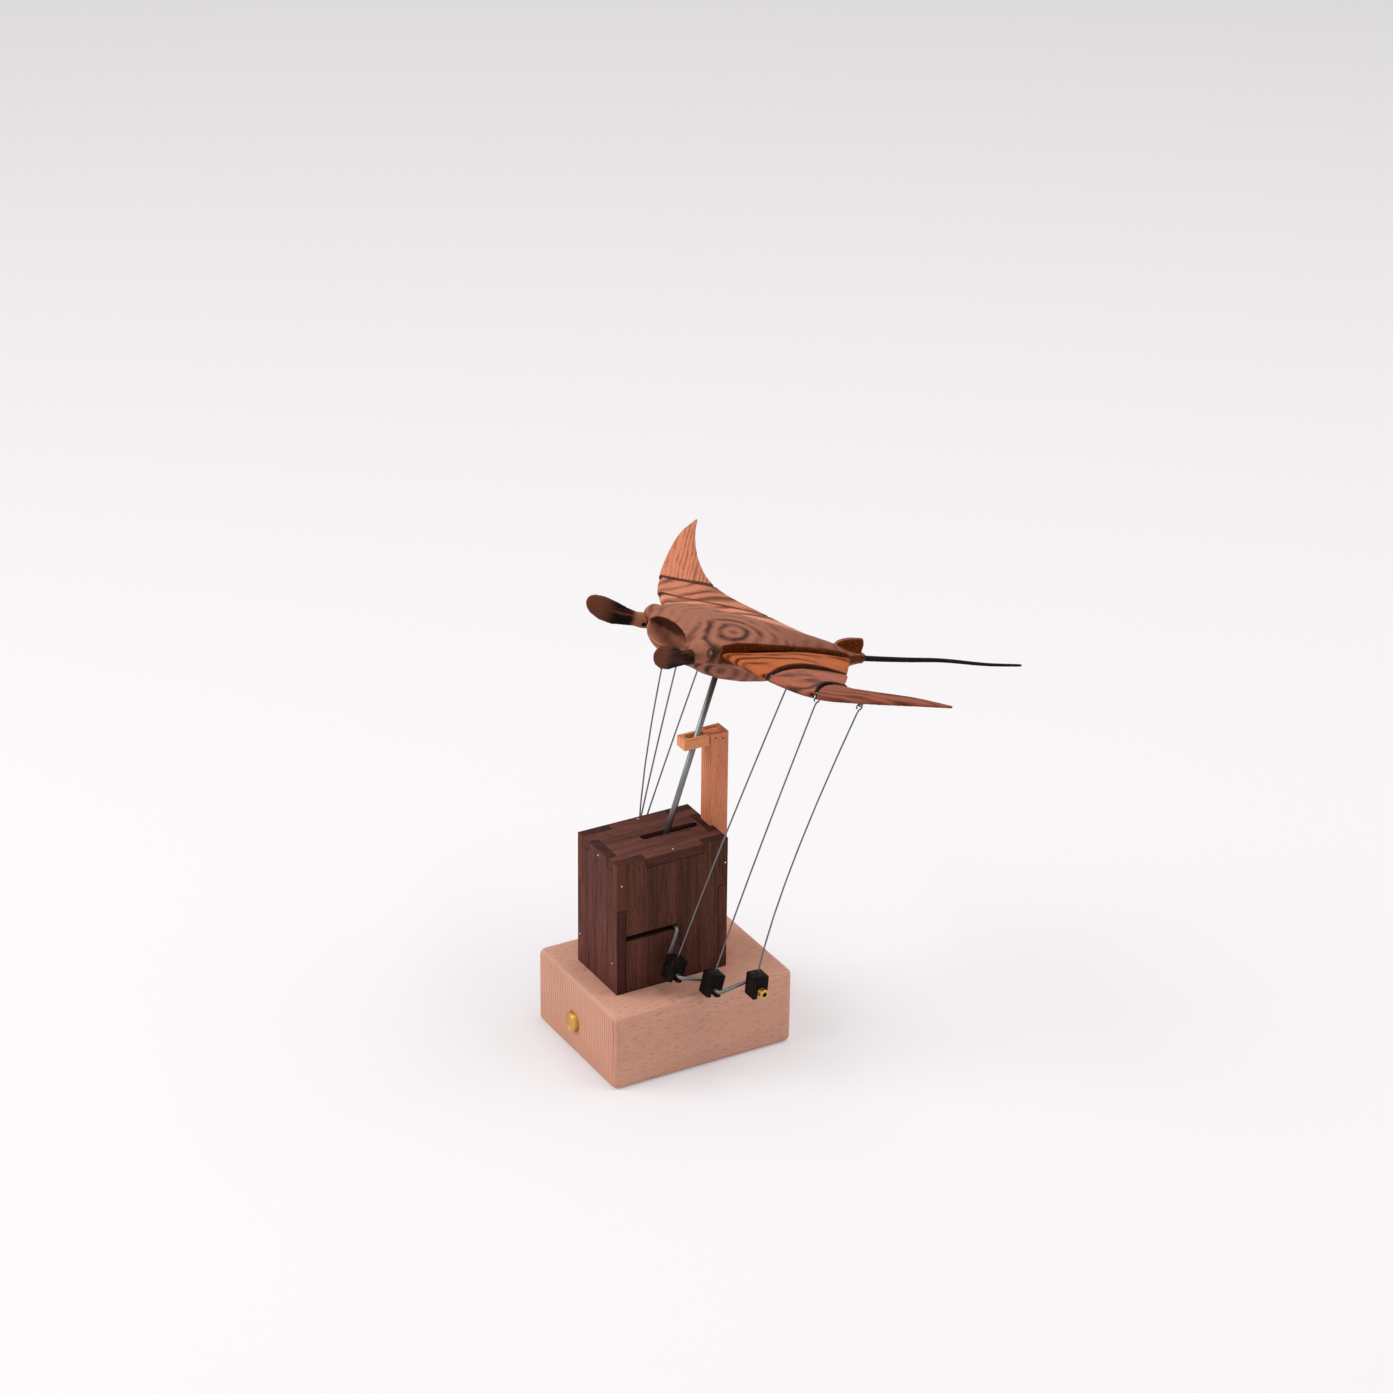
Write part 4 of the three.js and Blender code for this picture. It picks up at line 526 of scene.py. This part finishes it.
# the body's board has its knot figure on the right of the back, and rings spread out from there
wood = Finish("rosewood_body", {"Specular IOR Level": 0.05})
turn = ray_turn(math.radians(28))
ring = wood.split(wood.spot(ray_matrix @ Vector((0.0161, -0.0097, 0.0316)), turn, (0.0092, 0.0165, 0.03)))
drift = wood.noise(wood.spot((0.31, 0.2, 0), ray_turn(0), (0.011, 0.026, 0.02)), 2.0, 0.5)
radius = wood.maths("SQRT", ring[0] * ring[0] + ring[1] * ring[1])
rings = (radius * 1.75 + (drift - 0.5) * (radius.ramp(0.3, 1.8) * 1.6 + 0.6) + 1.2).wave() ** 1.3
x, y, z = wood.split(wood.spot(RAY_AT, ray_turn(0), (0.001,) * 3))
near_knot = radius.ramp(1.9, 0.7)
broad = wood.noise(wood.spot((0.1, 0, 0.4), ray_turn(0), (0.009, 0.02, 0.02)), 3.0, 0.55).ramp(0.4, 0.62)
fibre, pore = fibres(wood, ray_turn(0), 0.213)
colour = wood.mix(linear(160, 103, 82), linear(54, 29, 22), rings * (near_knot * 0.5 + broad * 0.5 + 0.1))
colour = wood.mix(colour, linear(112, 66, 54), y.ramp(8, 36) * 0.45)
colour = wood.mix(colour, linear(134, 84, 66), fibre.ramp(0.46, 0.72) * 0.5)
colour = wood.mix(colour, linear(66, 38, 30), pore * 0.35)
# the sides over the wings are stained dark and hatched by the knife
normal = wood.split(wood.facing())
sideways = wood.maths("ABSOLUTE", normal[0]).ramp(0.55, 0.75)
flank = sideways * y.ramp(-22.5, -19) * z.ramp(17.5, 19.5)
hatch = wood.noise(wood.spot((0, 0, 0), ray_turn(0.7), (0.0005, 0.0024, 0.0005)), 2.0).ramp(0.4, 0.62)
colour = wood.mix(colour, wood.mix(linear(116, 52, 8), linear(44, 18, 2), hatch), flank)
# painted shade makes a dark ring round each eye and darkens the throat, and the lower lip is stippled
out = wood.maths("ABSOLUTE", x)
across, along, above = (place - eye * 1000 for place, eye in zip((out, y, z), EYE_AT))
away = wood.maths("SQRT", across * across + along * along + above * above)
# painted shade: a dark ring round each eye
colour = wood.mix(colour, linear(58, 30, 22), away.ramp(1.4, 1.8) * away.ramp(3.0, 2.3) * 0.75)
# painted shade inside the mouth: the throat's downward-facing faces are darkened
throat_shade = y.ramp(-21, -25) * normal[2].ramp(0.35, -0.1) * z.ramp(15.5, 18) * out.ramp(21, 18)
colour = wood.mix(colour, linear(44, 24, 17), throat_shade * 0.7)
stipple = wood.noise(wood.spot(size=(0.0007, 0.0007, 0.0007)), 2.0)
lip = y.ramp(-26, -31) * normal[2].ramp(0.2, 0.6) * z.ramp(25.5, 22)
colour = wood.mix(colour, linear(176, 112, 88), lip * (0.35 + stipple.ramp(0.3, 0.7) * 0.55))
body_wood = wood.finish(colour, 0.5 + fibre * 0.2, fibre * 0.4 - pore * 0.5 + stipple * lip, 0.0001, 0.4)
make("ray_carving", carved("ray_body", 0.0005, 5), body_wood, "ray", "zebrano", "ray_body")

# Eyes: a dark glossy bead glued into the hole of each boss, in a ring of painted shade. The two are
# mirror images.
eye_finish = Finish("eye_bead", {"Coat Weight": 0.8, "Coat Roughness": 0.08})
eye_cloud = eye_finish.noise(eye_finish.spot(size=(0.0008, 0.0008, 0.0008)), 3.0)
eye_bead = eye_finish.finish(
    eye_finish.mix(linear(28, 16, 14), linear(92, 44, 34), eye_cloud.ramp(0.4, 0.75)), eye_cloud * 0.2 + 0.12)
EYE_WAY = (0.912, 0.332, 0.242)
BEAD = [(0, 0.0011), (0.0005, 0.00098), (0.0009, 0.00064), (0.0011, 0), (0.0009, -0.00064), (0, -0.0011)]
for side, sign in (("left", -1), ("right", 1)):
    at = ray_matrix @ Vector((EYE_AT[0] * sign, EYE_AT[1], EYE_AT[2]))
    way = ray_matrix.to_3x3() @ Vector((EYE_WAY[0] * sign, EYE_WAY[1], EYE_WAY[2]))
    bead = to_mesh(lathed(BEAD, 20, at - way * 0.0003, way), "eye", 80.0)
    make("eye_" + side, bead, eye_bead, "ray", "ebony")


# Wings: three carved pieces a side, of the same figured wood cut from different boards. The near
# ones are redder, the outer ones have their grain along the wing, and the bowed joints carry painted shade.
STRIPED = (0.010, 0.06, 0.010)
# heading of the grain, spacing and drift of its stripes, pale and deep colour, shift, contrast, cell
wing_looks = {
    "inner_right": (0.08, 0.0095, 3.6, (186, 98, 52), (64, 29, 9), 0.13, 1.0, (0.014, 0.036, 0.014)),
    "middle_right": (-0.2, 0.013, 3.4, (166, 96, 74), (66, 40, 35), 0.42, 0.95, (0.014, 0.028, 0.014)),
    "outer_right": (-1.05, 0.0042, 2.0, (146, 84, 64), (74, 37, 25), 0.77, 0.9, (0.008, 0.05, 0.008)),
    "inner_left": (0.12, 0.0085, 2.2, (218, 140, 108), (96, 48, 32), 1.31, 0.95, STRIPED),
    "middle_left": (0.28, 0.0085, 1.6, (202, 126, 96), (96, 48, 32), 1.62, 0.95, STRIPED),
    "outer_left": (1.0, 0.0021, 1.6, (208, 130, 98), (112, 58, 38), 1.93, 0.7, (0.006, 0.06, 0.006)),
}
# in millimetres from above: a joint's front end, its rear end and the depth of its bow
JOINTS = {
    "inner": ((27, -21), (6, 70.5), 0),
    "middle": ((53.04, -9.36), (36, 48.6), 7),
    "outer": ((74.88, 3.84), (62.88, 30.24), 5.5),
}


def joint_shade(wood, joint, reach):
    """1 beside the joint, within reach in millimetres: painted shade of the gap between the pieces."""
    (front_x, front), (rear_x, rear), bow = JOINTS[joint]
    x, y, _ = wood.split(wood.spot(RAY_AT, ray_turn(0), (0.001,) * 3))
    along = wood.maths("MINIMUM", wood.maths("MAXIMUM", (y - front) / (rear - front), 0.0), 1.0)
    curve = along * (rear_x - front_x) + front_x - wood.maths("SINE", along ** 0.8 * math.pi) * bow
    return wood.maths("ABSOLUTE", wood.maths("ABSOLUTE", x) - curve).ramp(reach, reach * 0.55)


for side in ("left", "right"):
    for index, span in enumerate(PIECES):
        name = f"{span}_{side}"
        wood, colour, fibre, pore = rosewood("rosewood_" + name, *wing_looks[name])
        # painted shade along each joint, in a wider band on the left wing than on the right
        reach = 3.4 if side == "left" else 1.9
        painted_joint_shade = sum(joint_shade(wood, joint, reach) for joint in PIECES[index:index + 2])
        colour = wood.mix(colour, linear(38, 20, 14), painted_joint_shade * 0.85)
        make("wing_carving_" + name, carved("wing_" + name, 0.0004, 4),
             wood.finish(colour, 0.48 + fibre * 0.2, fibre * 0.4 - pore * 0.5, 0.0001, 0.35),
             "wing_" + name, "zebrano", "wing_" + name)

# Hinge pins: short straight pieces of steel wire through the knuckles of each joint, hidden but for
# what shows in the gap.
for side in ("left", "right"):
    for span in PIECES:
        paint(steel, f"hinge_pin_{span}_{side}")

# Head fins: two dark paddles, doweled to the head, streaked black and browner at the round end.
# The end of each dowel shows as a dark dot on the wrist, which is pale on the left one.
for side, sign in (("left", -1), ("right", 1)):
    wood = Finish("fin_wood_" + side, {"Specular IOR Level": 0.05})
    turn = ray_turn(0.35 * sign)
    along = wood.noise(wood.spot((0, 0, 0), turn, (0.0022, 0.03, 0.0022)), 4.0, 0.6)
    fibre = wood.noise(wood.spot((0, 0, 0), turn, (0.0004, 0.008, 0.0004)), 3.0, 0.6)
    dot = wood.split(wood.spot(ray_matrix @ Vector((0.0203 * sign, -0.0348, 0.0178)), size=(0.001,) * 3))
    _, y, _ = wood.split(wood.spot(RAY_AT, ray_turn(0), (0.001,) * 3))
    tip = y.ramp(-47, -56)
    wrist = y.ramp(-41, -38) * (0.85 if side == "left" else 0.0)
    colour = wood.mix(linear(92, 50, 34), linear(20, 11, 9), along.ramp(0.3, 0.5) * (1 - tip * 0.85))
    colour = wood.mix(colour, linear(118, 70, 50), tip * 0.6)
    colour = wood.mix(colour, linear(20, 12, 10), fibre.ramp(0.5, 0.75) * 0.45)
    colour = wood.mix(colour, linear(158, 100, 76), wrist)
    away = wood.maths("SQRT", dot[0] * dot[0] + dot[1] * dot[1] + dot[2] * dot[2])
    colour = wood.mix(colour, linear(16, 9, 8), away.ramp(1.35, 1.0))
    fin_finish = wood.finish(colour, 0.48 + fibre * 0.2, fibre, 0.00008, 0.35)
    make("fin_carving_" + side, carved("head_fin_" + side, 0.0004, 5), fin_finish,
         "ray", "dark_wood", "head_fin_" + side)

# Tail: a slim rod of ebony, tapered towards its end and bent by heat, glued into a hole in the
# rump.
bar("tail_rod", "tail", 0.0012, ebony("ebony_tail", 2.3), "ray", "ebony")

# Screw eyes and pushrods: 0.8 mm spring wire. Each pushrod stands fixed in its block and ends in a
# loop that hangs in the eye, so between them it bends like a spring held at its foot.
WIRE = 0.0004
LOOP_HEIGHT = 0.003
HANG = ray_matrix.to_3x3() @ Vector((0, 0, 0.0011))  # from the eye's lowest wire to the loop's pivot


def marker(name):
    place = bpy.data.objects.new(name, None)
    bpy.context.scene.collection.objects.link(place)
    return place


wire_steel = metal("steel_wire", (128, 127, 128), 0.32, (0.0002, 0.0002, 0.006))
for side in ("left", "right"):
    for span in PIECES:
        name = f"{span}_{side}"
        bar("eye_ring_" + name, "screw_eye_" + name, WIRE, wire_steel, "wing_" + name, "steel")
        pushrod = bar("pushrod_wire_" + name, "pushrod_" + name, WIRE, wire_steel, "rider_" + name, "steel",
                      longest=0.004)
        low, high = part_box("screw_eye_" + name)
        hung = marker("eye_place_" + name)
        hung.location = Vector(((low.x + high.x) / 2, low.y + WIRE, low.z + WIRE)) + HANG
        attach(hung, "wing_" + name)
        pull = marker("loop_place_" + name)
        pull.constraints.new("COPY_LOCATION").target = hung
        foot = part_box("pushrod_block_" + name)[1].z
        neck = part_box("pushrod_" + name)[1].z - LOOP_HEIGHT
        group = pushrod.vertex_groups.new(name="loop")
        for vert in pushrod.data.vertices:
            share = min(max((vert.co.z - foot) / (neck - foot), 0.0), 1.0)
            group.add([vert.index], share * share * (3 - share) / 2, "REPLACE")
        hook = pushrod.modifiers.new("springs", "HOOK")
        hook.object = pull
        hook.vertex_group = "loop"
        hook.falloff_type = "NONE"
        hook.matrix_inverse = Matrix.Translation(-hung.location)


# Floor: a plain pale sheet of paper, just under the base. It is a little brighter to the eye than
# to the light that it throws on the object.
sheet = bmesh.new()
bmesh.ops.create_grid(sheet, x_segments=1, y_segments=1, size=14.0)
floor_mesh = bpy.data.meshes.new("floor")
sheet.to_mesh(floor_mesh)
sheet.free()
floor = bpy.data.objects.new("floor", floor_mesh)
bpy.context.scene.collection.objects.link(floor)
floor.location.z = -0.0002
paper = Finish("floor_paper", {"Specular IOR Level": 0.1})
paper.feed(paper.shader.inputs["Base Color"], linear(238, 235, 236))
paper.feed(paper.shader.inputs["Roughness"], 0.9)
glow = paper.tree.nodes.new("ShaderNodeEmission")
glow.inputs[0].default_value = linear(246, 243, 245)
seen = paper.node("ShaderNodeLightPath", {}, out="Is Camera Ray")
mixer = paper.tree.nodes.new("ShaderNodeMixShader")
paper.feed(mixer.inputs[0], seen * 0.3)
paper.tree.links.new(paper.shader.outputs[0], mixer.inputs[1])
paper.tree.links.new(glow.outputs[0], mixer.inputs[2])
paper.tree.links.new(mixer.outputs[0], paper.tree.nodes["Material Output"].inputs[0])
floor_mesh.materials.append(paper.material)

# Light: an even pale studio, which metal reflects at full brightness. A wide soft lamp stands in
# front on the left, a second hangs above and behind, and a weaker one stands far behind.
world = bpy.data.worlds.new("studio")
bpy.context.scene.world = world
world.use_nodes = True
tree = world.node_tree
tree.nodes.clear()
path = tree.nodes.new("ShaderNodeLightPath")
ambient = tree.nodes.new("ShaderNodeBackground")
ambient.inputs[0].default_value = (0.97, 0.98, 1.0, 1.0)
ambient.inputs[1].default_value = 0.42
backdrop = tree.nodes.new("ShaderNodeBackground")
backdrop.inputs[0].default_value = (1.0, 1.0, 1.0, 1.0)
backdrop.inputs[1].default_value = 1.0
shown = tree.nodes.new("ShaderNodeMath")
shown.operation = "MAXIMUM"
tree.links.new(path.outputs["Is Camera Ray"], shown.inputs[0])
tree.links.new(path.outputs["Is Glossy Ray"], shown.inputs[1])
choice = tree.nodes.new("ShaderNodeMixShader")
tree.links.new(shown.outputs[0], choice.inputs[0])
tree.links.new(ambient.outputs[0], choice.inputs[1])
tree.links.new(backdrop.outputs[0], choice.inputs[2])
sky = tree.nodes.new("ShaderNodeOutputWorld")
tree.links.new(choice.outputs[0], sky.inputs[0])


def lamp(name, at, size, watts, aim=(0, 0, 0.1)):
    data = bpy.data.lights.new(name, "AREA")
    data.size = size
    data.energy = watts
    light = bpy.data.objects.new(name, data)
    bpy.context.scene.collection.objects.link(light)
    light.location = at
    light.rotation_euler = (Vector(aim) - Vector(at)).to_track_quat("-Z", "Y").to_euler()


lamp("front_lamp", (-0.6, -1.5, 1.5), 1.4, 25)
lamp("top_lamp", (0.25, 0.5, 2.2), 1.3, 20)
lamp("back_lamp", (0.5, 1.4, 1.7), 1.6, 8)
bpy.context.scene.view_settings.view_transform = "Standard"
